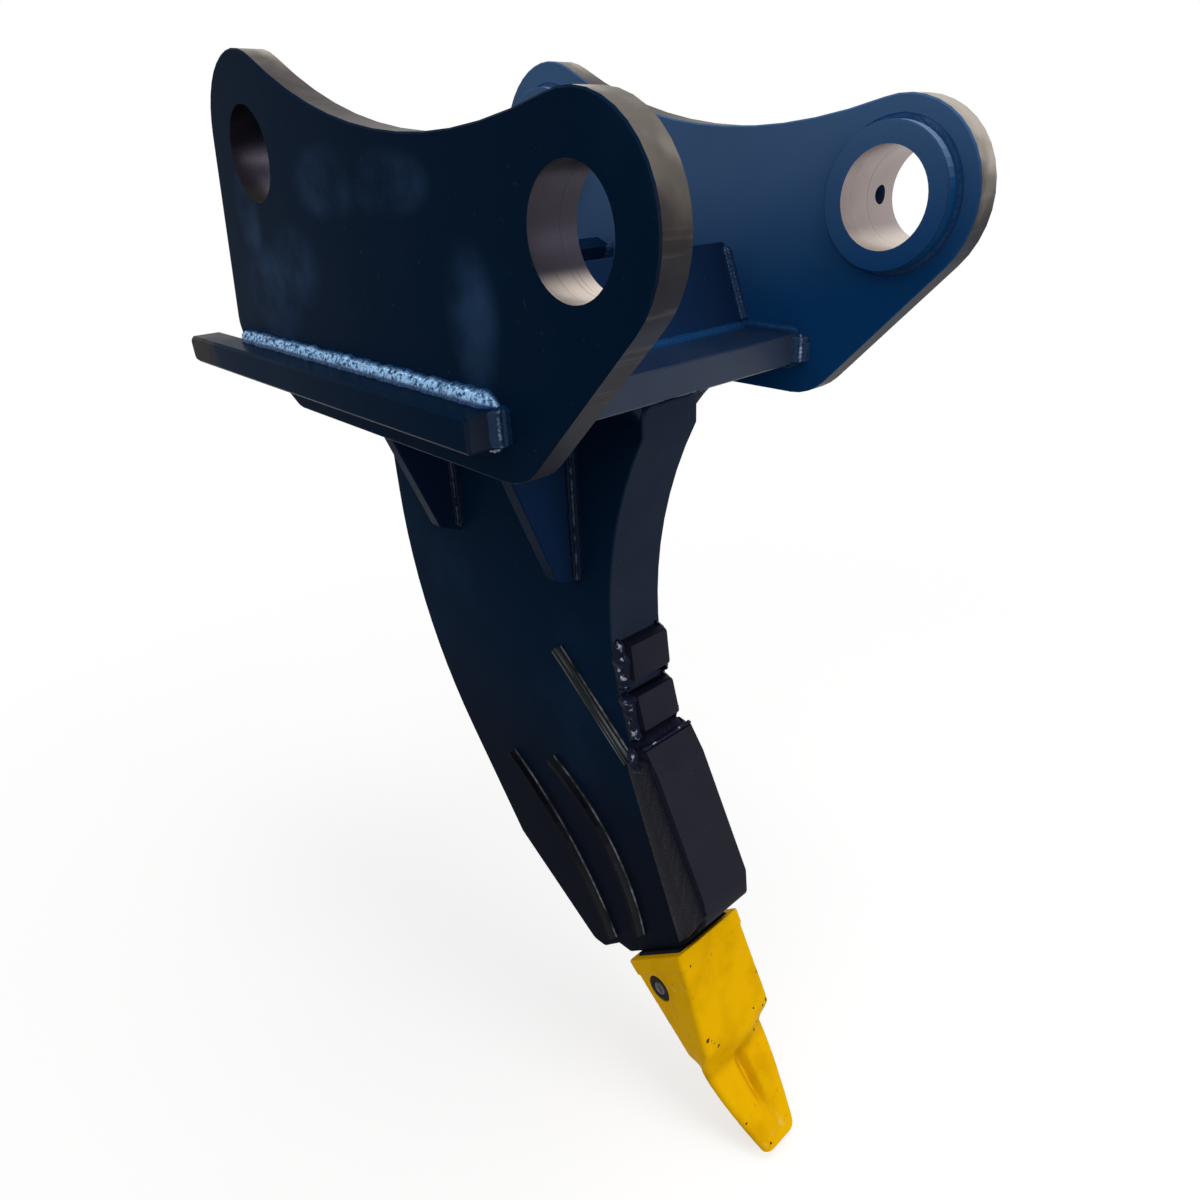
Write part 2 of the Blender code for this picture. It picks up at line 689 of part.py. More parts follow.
def make_wear_strips(paint):
    """Build three wear strips on each side of the shank."""
    middle = bowed_strip_ends(MIDDLE_STRIP_BELOW, MIDDLE_STRIP_LENGTH, MIDDLE_STRIP_SLANT)
    lower = bowed_strip_ends(LOWER_STRIP_BELOW, LOWER_STRIP_LENGTH, LOWER_STRIP_SLANT)
    for place, ends, rise in (
        ("upper", upper_strip_ends(), 0.0),
        ("middle", middle, MIDDLE_STRIP_RISE),
        ("lower", lower, LOWER_STRIP_RISE),
    ):
        for side, sign in (("right", -1.0), ("left", 1.0)):
            name = f"{side}_{place}_strip"
            new_object(name, loft_mesh(name, strip_sections(ends, rise, sign)), paint)


def lower_corner(side, level, radius):
    """Return the quarter arc that rounds a section's lower corner."""
    centre = Vector((side - radius, level + radius))
    return [tuple(place) for place in arc(centre, radius, -math.pi / 2, 0.0, CORNER_STEPS)]


def upper_corner(side, level, radius):
    """Return the quarter arc that rounds a section's upper corner."""
    centre = Vector((side - radius, level - radius))
    return [tuple(place) for place in arc(centre, radius, 0.0, math.pi / 2, CORNER_STEPS)]


def tooth_section(along):
    """Return one section of the tooth, square to its axis, as places in its own frame.

    The box keeps a flat front that falls to the shoulder and widens a little. The
    shoulder is bowed: the front drops at the corners first and in the middle last. Past
    it a thin blade narrows to a rounded tip, with a groove down the middle of its front.
    """
    box_share = along / BOX_LENGTH
    corner_drop = blend((along - BOX_LENGTH) / SHOULDER_RUN)
    middle_drop = blend((along - BOX_LENGTH - SHOULDER_BOW) / SHOULDER_RUN)
    blade_start = BOX_LENGTH + SHOULDER_RUN
    blade_share = max((along - blade_start) / (TOOTH_LENGTH - blade_start), 0.0)
    lip = RIM_LIP * (1 - blend((along - RIM_LENGTH) / (2 * RIM_LIP)))
    chamfer = MOUTH_CHAMFER * (1 - blend(along / MOUTH_CHAMFER))

    box_front = mix(MOUTH_FRONT, BOX_END_FRONT, box_share)
    blade_front = mix(BLADE_FRONT, TIP_FRONT, blade_share)
    front = mix(box_front, blade_front, corner_drop) + lip
    crown = mix(box_front, blade_front, middle_drop) + lip - front
    box_rear = mix(-MOUTH_REAR, -BOX_END_REAR, box_share)
    rear = mix(box_rear, BLADE_REAR, corner_drop) - lip + chamfer
    box_width = mix(MOUTH_HALF_WIDTH, BOX_END_HALF_WIDTH, box_share)
    blade_width = mix(BLADE_HALF_WIDTH, TIP_HALF_WIDTH, blade_share ** BLADE_TAPER_POWER)
    tip_share = min(max((along - TOOTH_LENGTH) / TIP_RADIUS + 1, 0.0), 1.0)
    rounding = TIP_RADIUS * (1 - math.sqrt(1 - tip_share ** 2))
    half_width = mix(box_width, blade_width, corner_drop) + lip - rounding
    box_rear_width = mix(MOUTH_HALF_WIDTH, BOX_REAR_HALF_WIDTH, box_share)
    blade_rear_width = blade_width - BLADE_REAR_NARROWING
    rear_width = mix(box_rear_width, blade_rear_width, corner_drop) + lip - rounding

    # The groove fades in quickly below the shoulder and runs out slowly towards the tip
    groove_share = min(max((along - blade_start + GROOVE_START) / GROOVE_LENGTH, 0.0), 1.0)
    fade_in = blend(groove_share / GROOVE_FADE_IN)
    depth = GROOVE_DEPTH * fade_in * blend((1 - groove_share) / GROOVE_FADE_OUT)
    groove_width = mix(GROOVE_HALF_WIDTH, GROOVE_END_HALF_WIDTH, groove_share)

    third = (front - rear) / 3
    corner_share = min(box_share, 1.0)
    rear_radius = min(mix(MOUTH_CORNER_RADIUS, REAR_CORNER_RADIUS, corner_share), third)
    front_radius = min(mix(MOUTH_CORNER_RADIUS, FRONT_CORNER_RADIUS, corner_share), third)
    half = lower_corner(rear_width, rear, rear_radius)
    half += upper_corner(half_width, front, front_radius)
    flat_start = half_width - front_radius
    for step in range(1, CROWN_STEPS):
        share = step / CROWN_STEPS
        half.append((mix(flat_start, groove_width, share), front + crown * blend(share)))
    for step in range(CORNER_STEPS):
        share = step / CORNER_STEPS
        half.append((groove_width * (1 - share), front + crown - depth * blend(share)))
    other = [(-across, height) for across, height in reversed(half)]
    outline = half + [(0.0, front + crown - depth)] + other
    return [(along, across, height) for across, height in outline]


def tooth_stations():
    """Return the distances along the axis at which the tooth has a section."""
    rim_end = RIM_LENGTH + 2 * RIM_LIP
    shoulder_end = BOX_LENGTH + SHOULDER_BOW + SHOULDER_RUN
    tip_start = TOOTH_LENGTH - TIP_RADIUS
    stations = [0.0] + spread(0.0, MOUTH_CHAMFER, RIM_STEPS)
    stations += spread(RIM_LENGTH - RIM_LIP, rim_end, RIM_STEPS)
    stations += spread(rim_end, BOX_LENGTH, BOX_STEPS)
    stations += spread(BOX_LENGTH, shoulder_end, SHOULDER_STEPS)
    stations += spread(shoulder_end, tip_start, BLADE_STEPS)
    for step in range(1, TIP_STEPS + 1):
        angle = math.pi / 2 * step / TIP_STEPS
        stations.append(tip_start + TIP_RADIUS * math.sin(angle))
    return stations


def nose_sections(clearance, start, end):
    """Return both end sections of the tapered nose, grown by a clearance."""
    sections = []
    for along in (start, end):
        share = along / NOSE_LENGTH
        front = mix(NOSE_FRONT, NOSE_TIP_FRONT, share) + clearance
        rear = -mix(NOSE_REAR, NOSE_TIP_REAR, share) - clearance
        across = mix(NOSE_HALF_WIDTH, NOSE_TIP_HALF_WIDTH, share) + clearance
        sections.append([
            (along, across, rear), (along, across, front),
            (along, -across, front), (along, -across, rear),
        ])
    return sections


def make_tooth(yellow, paint, bare_steel, rubber):
    """Build the nose, the hollow tooth on it, and the pin and rings that lock them."""
    frame = bpy.data.objects.new("tooth_frame", None)
    bpy.context.scene.collection.objects.link(frame)
    frame.location = (MOUTH_CENTRE.x, 0.0, MOUTH_CENTRE.y)
    frame.rotation_euler = (0.0, TOOTH_DIP, 0.0)

    side_at_pin = mix(MOUTH_HALF_WIDTH, BOX_END_HALF_WIDTH, LOCK_PIN_ALONG / BOX_LENGTH)
    pin_place = (LOCK_PIN_ALONG, 0.0, -LOCK_PIN_BELOW)
    hole_mesh = cylinder_mesh(
        "lock_hole", LOCK_PIN_RADIUS + SEAM, 3 * side_at_pin, PIN_SEGMENTS, "Y",
    )
    hole = make_cutter("lock_hole", hole_mesh, pin_place, frame)

    nose_start = -MOUTH_GAP + SEAM
    mesh = loft_mesh("tooth_nose", nose_sections(0.0, nose_start, NOSE_LENGTH))
    nose = new_object("tooth_nose", mesh, paint, frame)
    bevel_edges(nose, 2 * PLATE_EDGE)
    cut(nose, hole)

    mesh = loft_mesh("tooth", [tooth_section(along) for along in tooth_stations()])
    tooth = new_object("tooth", mesh, yellow, frame)
    socket_mesh = loft_mesh(
        "socket", nose_sections(NOSE_CLEARANCE, -MOUTH_CHAMFER, NOSE_LENGTH + NOSE_CLEARANCE),
    )
    cut(tooth, make_cutter("socket", socket_mesh, parent=frame))
    cut(tooth, hole)

    ring_inner = LOCK_PIN_RADIUS + SEAM
    ring_outer = ring_inner + LOCK_RING_WALL
    seat_depth = LOCK_RING_DEPTH + LOCK_RING_WIDTH
    for side, sign in (("right", -1.0), ("left", 1.0)):
        floor = side_at_pin - seat_depth
        seat_mesh = cylinder_mesh(
            f"{side}_ring_seat", ring_outer + SEAM, 2 * seat_depth, PIN_SEGMENTS, "Y",
        )
        seat_place = (LOCK_PIN_ALONG, sign * (floor + seat_depth), -LOCK_PIN_BELOW)
        cut(tooth, make_cutter(f"{side}_ring_seat", seat_mesh, seat_place, frame))
        low = floor + SEAM
        high = floor + LOCK_RING_WIDTH
        if sign < 0:
            low, high = -high, -low
        ring = ring_mesh(
            f"{side}_lock_ring", ring_outer, ring_inner, low, high, 2 * SEAM, PIN_SEGMENTS,
        )
        new_object(f"{side}_lock_ring", ring, rubber, frame).location = pin_place

    pin_length = 2 * (side_at_pin - LOCK_RING_DEPTH)
    pin_mesh = cylinder_mesh("tooth_pin", LOCK_PIN_RADIUS, pin_length, PIN_SEGMENTS, "Y")
    pin = new_object("tooth_pin", pin_mesh, bare_steel, frame)
    pin.location = pin_place
    bevel_edges(pin, PLATE_EDGE)


def main():
    """Build the whole part."""
    clear_scene()
    paint = make_material("navy_paint", (0.010, 0.022, 0.060), 0.28, 0.0)
    black = make_material("black_paint", (0.012, 0.013, 0.022), 0.42, 0.0)
    yellow = make_material("yellow_paint", (0.85, 0.58, 0.010), 0.38, 0.0)
    bare_steel = make_material("bare_steel", (0.42, 0.40, 0.38), 0.35, 1.0)
    rubber = make_material("black_rubber", (0.02, 0.02, 0.02), 0.7, 0.0)
    make_ears(paint)
    make_bosses_and_collars(paint)
    make_base(paint)
    make_shank(paint)
    make_front_armour(black)
    make_wear_strips(black)
    make_tooth(yellow, black, bare_steel, rubber)


main()
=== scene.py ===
"""Looks of a ripper shank tooth: enamel, bare cut edges, weld beads and the cast tooth.

The script goes from shader tools and finishes to mesh tools, weld beads, sub-assemblies and
the studio. Every length is in metres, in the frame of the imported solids: the origin lies on
the front pin's axis midway between the ears, +X is the digging side and +Z stands square on
the base plate.
"""

import logging
import math
from dataclasses import dataclass, field, replace
from enum import Enum

import bmesh
import bpy
import numpy as np
from mathutils import Matrix, Vector


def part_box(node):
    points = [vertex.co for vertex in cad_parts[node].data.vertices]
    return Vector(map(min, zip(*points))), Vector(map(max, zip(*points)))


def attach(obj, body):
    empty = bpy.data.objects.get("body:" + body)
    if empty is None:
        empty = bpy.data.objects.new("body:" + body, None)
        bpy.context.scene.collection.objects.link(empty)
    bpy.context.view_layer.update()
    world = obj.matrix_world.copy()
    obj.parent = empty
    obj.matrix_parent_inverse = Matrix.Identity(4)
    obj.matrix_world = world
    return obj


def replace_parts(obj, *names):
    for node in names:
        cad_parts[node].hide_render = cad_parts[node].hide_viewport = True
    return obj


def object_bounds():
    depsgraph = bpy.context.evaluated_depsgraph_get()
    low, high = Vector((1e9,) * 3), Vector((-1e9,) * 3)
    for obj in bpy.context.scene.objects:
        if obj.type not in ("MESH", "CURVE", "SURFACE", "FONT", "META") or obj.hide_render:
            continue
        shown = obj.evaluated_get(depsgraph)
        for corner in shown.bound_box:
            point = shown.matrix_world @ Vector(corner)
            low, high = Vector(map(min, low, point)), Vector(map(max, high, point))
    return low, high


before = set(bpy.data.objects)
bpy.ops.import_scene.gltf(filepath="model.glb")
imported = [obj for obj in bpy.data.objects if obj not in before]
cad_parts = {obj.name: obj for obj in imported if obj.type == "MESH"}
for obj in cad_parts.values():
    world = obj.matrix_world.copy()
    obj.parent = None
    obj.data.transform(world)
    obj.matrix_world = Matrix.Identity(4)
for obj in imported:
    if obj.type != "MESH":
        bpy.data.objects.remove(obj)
CAD_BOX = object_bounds()

LOG = logging.getLogger("ripper_shank")
ROOT_BODY = "root"

Colour = tuple[float, float, float, float]
Place = tuple[float, float, float]
Span = tuple[float, float]
Socket = bpy.types.NodeSocket
Material = bpy.types.Material
Value = Socket | float | Place | Colour


class Slot(Enum):
    """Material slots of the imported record."""

    NAVY = "navy_paint"
    BLACK = "black_paint"
    YELLOW = "yellow_paint"
    STEEL = "bare_steel"
    RUBBER = "black_rubber"


class Side(Enum):
    """Sides of the part along the pins, with the sign of Y."""

    RIGHT = -1.0
    LEFT = 1.0

    @property
    def label(self) -> str:
        """Return the side's name as the solids write it."""
        return self.name.lower()


class Axis(Enum):
    """Axes of the frame: ahead, across and up."""

    X = 0
    Y = 1
    Z = 2


class Operation(Enum):
    """Operations of the Math node that the finishes use."""

    ADD = "ADD"
    SUBTRACT = "SUBTRACT"
    MULTIPLY = "MULTIPLY"
    MAXIMUM = "MAXIMUM"
    LESS_THAN = "LESS_THAN"
    ABSOLUTE = "ABSOLUTE"
    SQRT = "SQRT"


def linear(value: int) -> float:
    """Return an 8 bit screen value as linear light, by the sRGB curve."""
    share = value / 255
    return share / 12.92 if share <= 0.04045 else ((share + 0.055) / 1.055) ** 2.4


def srgb(red: int, green: int, blue: int) -> Colour:
    """Return the linear colour, with full alpha, of an 8 bit screen colour."""
    return (linear(red), linear(green), linear(blue), 1.0)


WHITE: Colour = (1.0, 1.0, 1.0, 1.0)
BLANK: Colour = (0.0, 0.0, 0.0, 1.0)


class ShaderGraph:
    """A material's node tree, with short calls for the nodes that the finishes share."""

    # Sockets of the Mix node that carry colours
    mix_first, mix_second, mix_result = 6, 7, 2

    def __init__(self, name: str) -> None:
        """Start a material that holds one Principled shader.

        Args:
            name: The material's name.
        """
        self.material = bpy.data.materials.new(name)
        self.material.use_nodes = True
        self.tree = self.material.node_tree
        self.shader = self.tree.nodes["Principled BSDF"]
        self.place = self.tree.nodes.new("ShaderNodeTexCoord").outputs["Object"]
        self.normal = self.tree.nodes.new("ShaderNodeNewGeometry").outputs["True Normal"]

    def put(self, socket: Socket, value: Value) -> None:
        """Link a node's input to a socket, or set its own value.

        Args:
            socket: The input.
            value: A socket, or the number, vector or colour to set.
        """
        if isinstance(value, bpy.types.NodeSocket):
            self.tree.links.new(value, socket)
        else:
            socket.default_value = value

    def set(self, **inputs: Value) -> None:
        """Link or set the Principled shader's inputs, written with underscores."""
        for name, value in inputs.items():
            self.put(self.shader.inputs[name.replace("_", " ")], value)

    def noise(
        self, scale: float, detail: float = 4.0,
        stretch: tuple[float, float, float] = (1.0, 1.0, 1.0), turn: float = 0.0,
    ) -> Socket:
        """Return a noise value from 0 to 1.

        Args:
            scale: Waves a metre.
            detail: Octaves.
            stretch: A factor on the scale along each axis.
            turn: How far the noise is turned about Y, in radians.

        Returns:
            The noise.
        """
        mapping = self.tree.nodes.new("ShaderNodeMapping")
        mapping.vector_type = "TEXTURE"
        mapping.inputs["Scale"].default_value = [1.0 / factor for factor in stretch]
        mapping.inputs["Rotation"].default_value = (0.0, turn, 0.0)
        self.put(mapping.inputs["Vector"], self.place)
        node = self.tree.nodes.new("ShaderNodeTexNoise")
        node.inputs["Scale"].default_value = scale
        node.inputs["Detail"].default_value = detail
        self.put(node.inputs["Vector"], mapping.outputs["Vector"])
        return node.outputs["Fac"]

    def math(
        self, operation: Operation, first: Value, second: Value = 0.0, clamp: bool = False
    ) -> Socket:
        """Return the result of a Math node.

        Args:
            operation: What the node works out.
            first: Its first input.
            second: Its second input, where it takes two.
            clamp: Whether the result is held between 0 and 1.

        Returns:
            The result.
        """
        node = self.tree.nodes.new("ShaderNodeMath")
        node.operation = operation.value
        node.use_clamp = clamp
        self.put(node.inputs[0], first)
        self.put(node.inputs[1], second)
        return node.outputs["Value"]

    def add(self, first: Value, second: Value) -> Socket:
        """Return a sum."""
        return self.math(Operation.ADD, first, second)

    def minus(self, first: Value, second: Value, clamp: bool = False) -> Socket:
        """Return a difference, held between 0 and 1 if asked."""
        return self.math(Operation.SUBTRACT, first, second, clamp)

    def times(self, first: Value, second: Value) -> Socket:
        """Return a product."""
        return self.math(Operation.MULTIPLY, first, second)

    def larger(self, first: Value, second: Value) -> Socket:
        """Return the larger of two values."""
        return self.math(Operation.MAXIMUM, first, second)

    def step(self, value: Value, low: float, high: float) -> Socket:
        """Return a smooth step.

        Args:
            value: The value that is looked at.
            low: Where the step is 0.
            high: Where it is 1, above or below low.

        Returns:
            The step.
        """
        node = self.tree.nodes.new("ShaderNodeMapRange")
        node.interpolation_type = "SMOOTHSTEP"
        self.put(node.inputs["Value"], value)
        node.inputs["From Min"].default_value = low
        node.inputs["From Max"].default_value = high
        return node.outputs["Result"]

    def span(self, value: Value, low: float, high: float) -> Socket:
        """Spread a value from 0 to 1 over another span.

        Args:
            value: The value.
            low: What 0 becomes.
            high: What 1 becomes.

        Returns:
            The spread value.
        """
        node = self.tree.nodes.new("ShaderNodeMapRange")
        self.put(node.inputs["Value"], value)
        node.inputs["To Min"].default_value = low
        node.inputs["To Max"].default_value = high
        return node.outputs["Result"]

    def mix(self, share: Value, first: Value, second: Value) -> Socket:
        """Mix two colours.

        Args:
            share: How much of the second colour there is, from 0 to 1.
            first: The first colour.
            second: The second colour.

        Returns:
            The mixed colour.
        """
        node = self.tree.nodes.new("ShaderNodeMix")
        node.data_type = "RGBA"
        self.put(node.inputs["Factor"], share)
        self.put(node.inputs[self.mix_first], first)
        self.put(node.inputs[self.mix_second], second)
        return node.outputs[self.mix_result]

    def axis(self, axis: Axis, vector: Socket | None = None) -> Socket:
        """Take one component of a vector.

        Args:
            axis: Which component.
            vector: The vector, or None for the place on the piece.

        Returns:
            The component.
        """
        node = self.tree.nodes.new("ShaderNodeSeparateXYZ")
        self.put(node.inputs["Vector"], vector or self.place)
        return node.outputs[axis.value]

    def attribute(self, name: str) -> Socket:
        """Read a value that the mesh carries at each point.

        Args:
            name: The value's name.

        Returns:
            The value.
        """
        node = self.tree.nodes.new("ShaderNodeAttribute")
        node.attribute_name = name
        return node.outputs["Fac"]

    def bump(self, height: Value, distance: float, below: Socket | None = None) -> Socket:
        """Tilt the normal by a height.

        Args:
            height: The height, from 0 to 1.
            distance: The depth in metres that 1 stands for.
            below: A normal that is already tilted, or None.

        Returns:
            The tilted normal.
        """
        node = self.tree.nodes.new("ShaderNodeBump")
        node.inputs["Distance"].default_value = distance
        self.put(node.inputs["Height"], height)
        if below is not None:
            self.put(node.inputs["Normal"], below)
        return node.outputs["Normal"]


@dataclass(frozen=True)
class Enamel:
    """Sprayed enamel on plate: soft patches of painted sheen, painted light on faces
    turned to the other ear, painted light and dust on the digging side, peel.

    Attributes:
        name: The material's name.
        base: The paint.
        cloud: A paler paint laid in soft patches, a painted sheen.
        inner: Faces turned to the other ear, painted a lighter blue as painted light.
        lit_dust: Faces turned to the digging side, painted paler grey: painted light and dust.
        low: The paint at the shank's foot.
        low_from: Height below which all paint is low.
        low_to: Height above which none is.
        roughness: Least and greatest roughness.
        haze: Faces turned to the other ear, where high and to the rear,
            painted paler still as a painted highlight.
        haze_band: Heights over which the painted highlight grows, at the front pin.
        haze_lean: How much lower it starts for each metre ahead.
        gloss: Specular level.
        tail: The side bars' rubbed ends.
        tail_band: Places ahead between which the rubbing grows.
        speck: Fine specks of dust.
        peel: Depth of the peel.
    """

    name: str
    base: Colour
    cloud: Colour
    inner: Colour
    lit_dust: Colour
    low: Colour
    low_from: float = -0.80
    low_to: float = -0.45
    roughness: Span = (0.24, 0.40)
    haze: Colour = srgb(86, 122, 168)
    haze_band: Span = (-0.10, 0.11)
    haze_lean: float = -0.25
    gloss: float = 0.012
    tail: Colour = srgb(74, 69, 66)
    tail_band: Span = (-0.615, -0.665)
    speck: Colour = srgb(88, 98, 112)
    peel: float = 0.00008

    def colour(self, graph: ShaderGraph) -> Socket:
        """Work out the paint's colour.

        Faces turned to the other ear are painted a lighter blue as painted light, paler
        still high up and to the rear as a painted highlight; faces turned to the digging
        side are painted paler grey, painted light and dust; the bars' tails are rubbed,
        and the paint darkens down the shank.

        Args:
            graph: The material's graph.

        Returns:
            The colour.
        """
        # Painted sheen: soft patches of a paler paint, laid by a noise.
        sheen_mask = graph.step(graph.noise(6.0, 3.0), 0.50, 0.74)
        paint = graph.mix(graph.times(sheen_mask, 0.45), self.base, self.cloud)

        # Painted light: faces turned to the other ear take a lighter blue in uneven streaks, paler still
        # high up and to the rear.
        rise = graph.add(graph.axis(Axis.Z), graph.times(graph.axis(Axis.X), self.haze_lean))
        painted_lining = graph.mix(graph.step(rise, *self.haze_band), self.inner, self.haze)
        streaks = graph.span(graph.noise(5.0, 4.0), 0.55, 1.0)
        paint = graph.mix(graph.times(self.inward(graph), streaks), paint, painted_lining)

        height = graph.add(graph.axis(Axis.Z), graph.times(graph.noise(4.0), 0.12))
        paint = graph.mix(graph.step(height, self.low_from, self.low_to), self.low, paint)

        # Faces turned to the digging side go paler grey in patches: painted light from that side, and dust.
        ahead = graph.step(graph.axis(Axis.X, graph.normal), 0.55, 0.85)
        dust = graph.times(ahead, graph.span(graph.noise(26.0, 5.0), 0.55, 1.0))
        paint = graph.mix(dust, paint, self.lit_dust)

        behind = graph.step(graph.axis(Axis.X), *self.tail_band)
        rubbed = graph.times(behind, graph.step(graph.noise(30.0, 6.0), 0.34, 0.62))
        paint = graph.mix(graph.times(rubbed, 0.8), paint, self.tail)

        specks = graph.times(graph.step(graph.noise(170.0, 2.0), 0.70, 0.78), 0.15)
        return graph.mix(specks, paint, self.speck)

    def inward(self, graph: ShaderGraph) -> Socket:
        """Return 1 on the faces that are turned to the other ear."""
        product = graph.times(graph.axis(Axis.Y, graph.normal), graph.axis(Axis.Y))
        return graph.step(graph.times(product, -1.0), 0.10, 0.14)

    def relief(self, graph: ShaderGraph) -> Socket:
        """Return the normal of sprayed enamel: fine peel over slow waves of the plate."""
        plate = graph.bump(graph.noise(14.0, 2.0), 0.0005)
        return graph.bump(graph.noise(420.0, 2.0), self.peel, plate)

    def build(self) -> Material:
        """Make the material.

        Returns:
            The material.
        """
        graph = ShaderGraph(self.name)
        graph.set(
            Base_Color=self.colour(graph),
            Roughness=graph.span(graph.noise(9.0, 5.0), *self.roughness),
            Normal=self.relief(graph),
            Specular_IOR_Level=self.gloss,
        )
        return graph.material


NAVY = Enamel(
    name="navy_enamel",
    base=srgb(8, 33, 58), cloud=srgb(22, 50, 80), inner=srgb(18, 82, 144),
    lit_dust=srgb(44, 50, 64), low=srgb(14, 20, 34), gloss=0.004,
)
RIB_NAVY = replace(NAVY, name="rib_enamel", lit_dust=srgb(20, 40, 72))
PLATE_NAVY = Enamel(
    name="plate_enamel",
    base=srgb(22, 38, 64), cloud=srgb(38, 54, 78), inner=srgb(26, 76, 126),
    lit_dust=srgb(52, 62, 80), low=srgb(14, 20, 34), gloss=0.14,
)
BLACK = Enamel(
    name="worn_black",
    base=srgb(20, 22, 36), cloud=srgb(38, 38, 46), inner=srgb(20, 22, 36),
    lit_dust=srgb(43, 44, 52), low=srgb(18, 20, 34), roughness=(0.34, 0.52), peel=0.00015,
)


@dataclass(frozen=True)
class StripBlack(Enamel):
    """Black paint of the wear strips, with grey painted highlight lines along their length."""

    lie: float = math.radians(40.3)
    scuff: Colour = srgb(124, 132, 132)
    scuff_band: Span = (-0.68, -0.60)
    scuff_share: Span = (0.02, 0.75)

    def colour(self, graph: ShaderGraph) -> Socket:
        """Work out the paint's colour with long painted highlight lines, fewer further down.

        Args:
            graph: The material's graph.

        Returns:
            The colour.
        """
        paint = super().colour(graph)
        # Painted highlight lines along the strip, strongest high up.
        lines = graph.step(graph.noise(300.0, 3.0, (0.03, 1.0, 1.0), self.lie), 0.48, 0.66)
        high = graph.step(graph.axis(Axis.Z), *self.scuff_band)
        strength = graph.span(high, *self.scuff_share)
        return graph.mix(graph.times(lines, strength), paint, self.scuff)


STRIP_BLACK = StripBlack(
    name="strip_black",
    base=srgb(38, 42, 46), cloud=srgb(60, 64, 66), inner=srgb(38, 42, 46),
    lit_dust=srgb(60, 62, 64), low=srgb(14, 17, 27), low_from=-0.69, low_to=-0.60,
    roughness=(0.25, 0.45), gloss=0.006, peel=0.0002,
)


@dataclass(frozen=True)
class PinZone:
    """Where the pins' bores lie."""

    pins: tuple[Span, ...]
    radius: float
    # polish: how strong the painted highlight on each bore's lower half is, front and rear.
    polish: tuple[float, ...] = (1.0, 0.15)
    margin: float = 0.0006
    low_band: Span = (0.55, 0.98)

    def masks(self, graph: ShaderGraph) -> tuple[Socket, Socket, Socket]:
        """Mask the edges of a plate or ring.

        Args:
            graph: The material's graph.

        Returns:
            Masks of every edge, of the bores' walls and of the walls' lower halves,
            where a painted highlight lies.
        """
        facing = graph.math(Operation.ABSOLUTE, graph.axis(Axis.Y, graph.normal))
        edge = graph.minus(1.0, graph.step(facing, 0.25, 0.6))
        walls: list[Socket] = []
        halves: list[Socket] = []
        for (x, z), polish in zip(self.pins, self.polish):
            across = graph.minus(graph.axis(Axis.X), x)
            above = graph.minus(graph.axis(Axis.Z), z)
            squares = graph.add(graph.times(across, across), graph.times(above, above))
            reach = graph.math(Operation.SQRT, squares)
            wall = graph.math(Operation.LESS_THAN, reach, self.radius + self.margin)
            low = graph.step(graph.times(above, -1.0 / self.radius), *self.low_band)
            walls.append(wall)
            halves.append(graph.times(graph.times(wall, low), polish))
        return edge, graph.times(graph.larger(*walls), edge), graph.larger(*halves)


@dataclass(frozen=True)
class Smudge:
    """A soft pale patch of painted reflection, by its middle ahead and up and its half lengths."""

    x: float
    z: float
    half_x: float
    half_z: float


# Painted reflections on the right ear's outer face.
REFLECTION_PATCHES = (
    Smudge(-0.512, -0.075, 0.050, 0.040),
    Smudge(-0.440, -0.040, 0.040, 0.030),
    Smudge(-0.126, -0.066, 0.028, 0.044),
    Smudge(-0.345, 0.036, 0.050, 0.024),
    Smudge(-0.235, 0.034, 0.050, 0.020),
    Smudge(-0.540, 0.004, 0.022, 0.034),
)


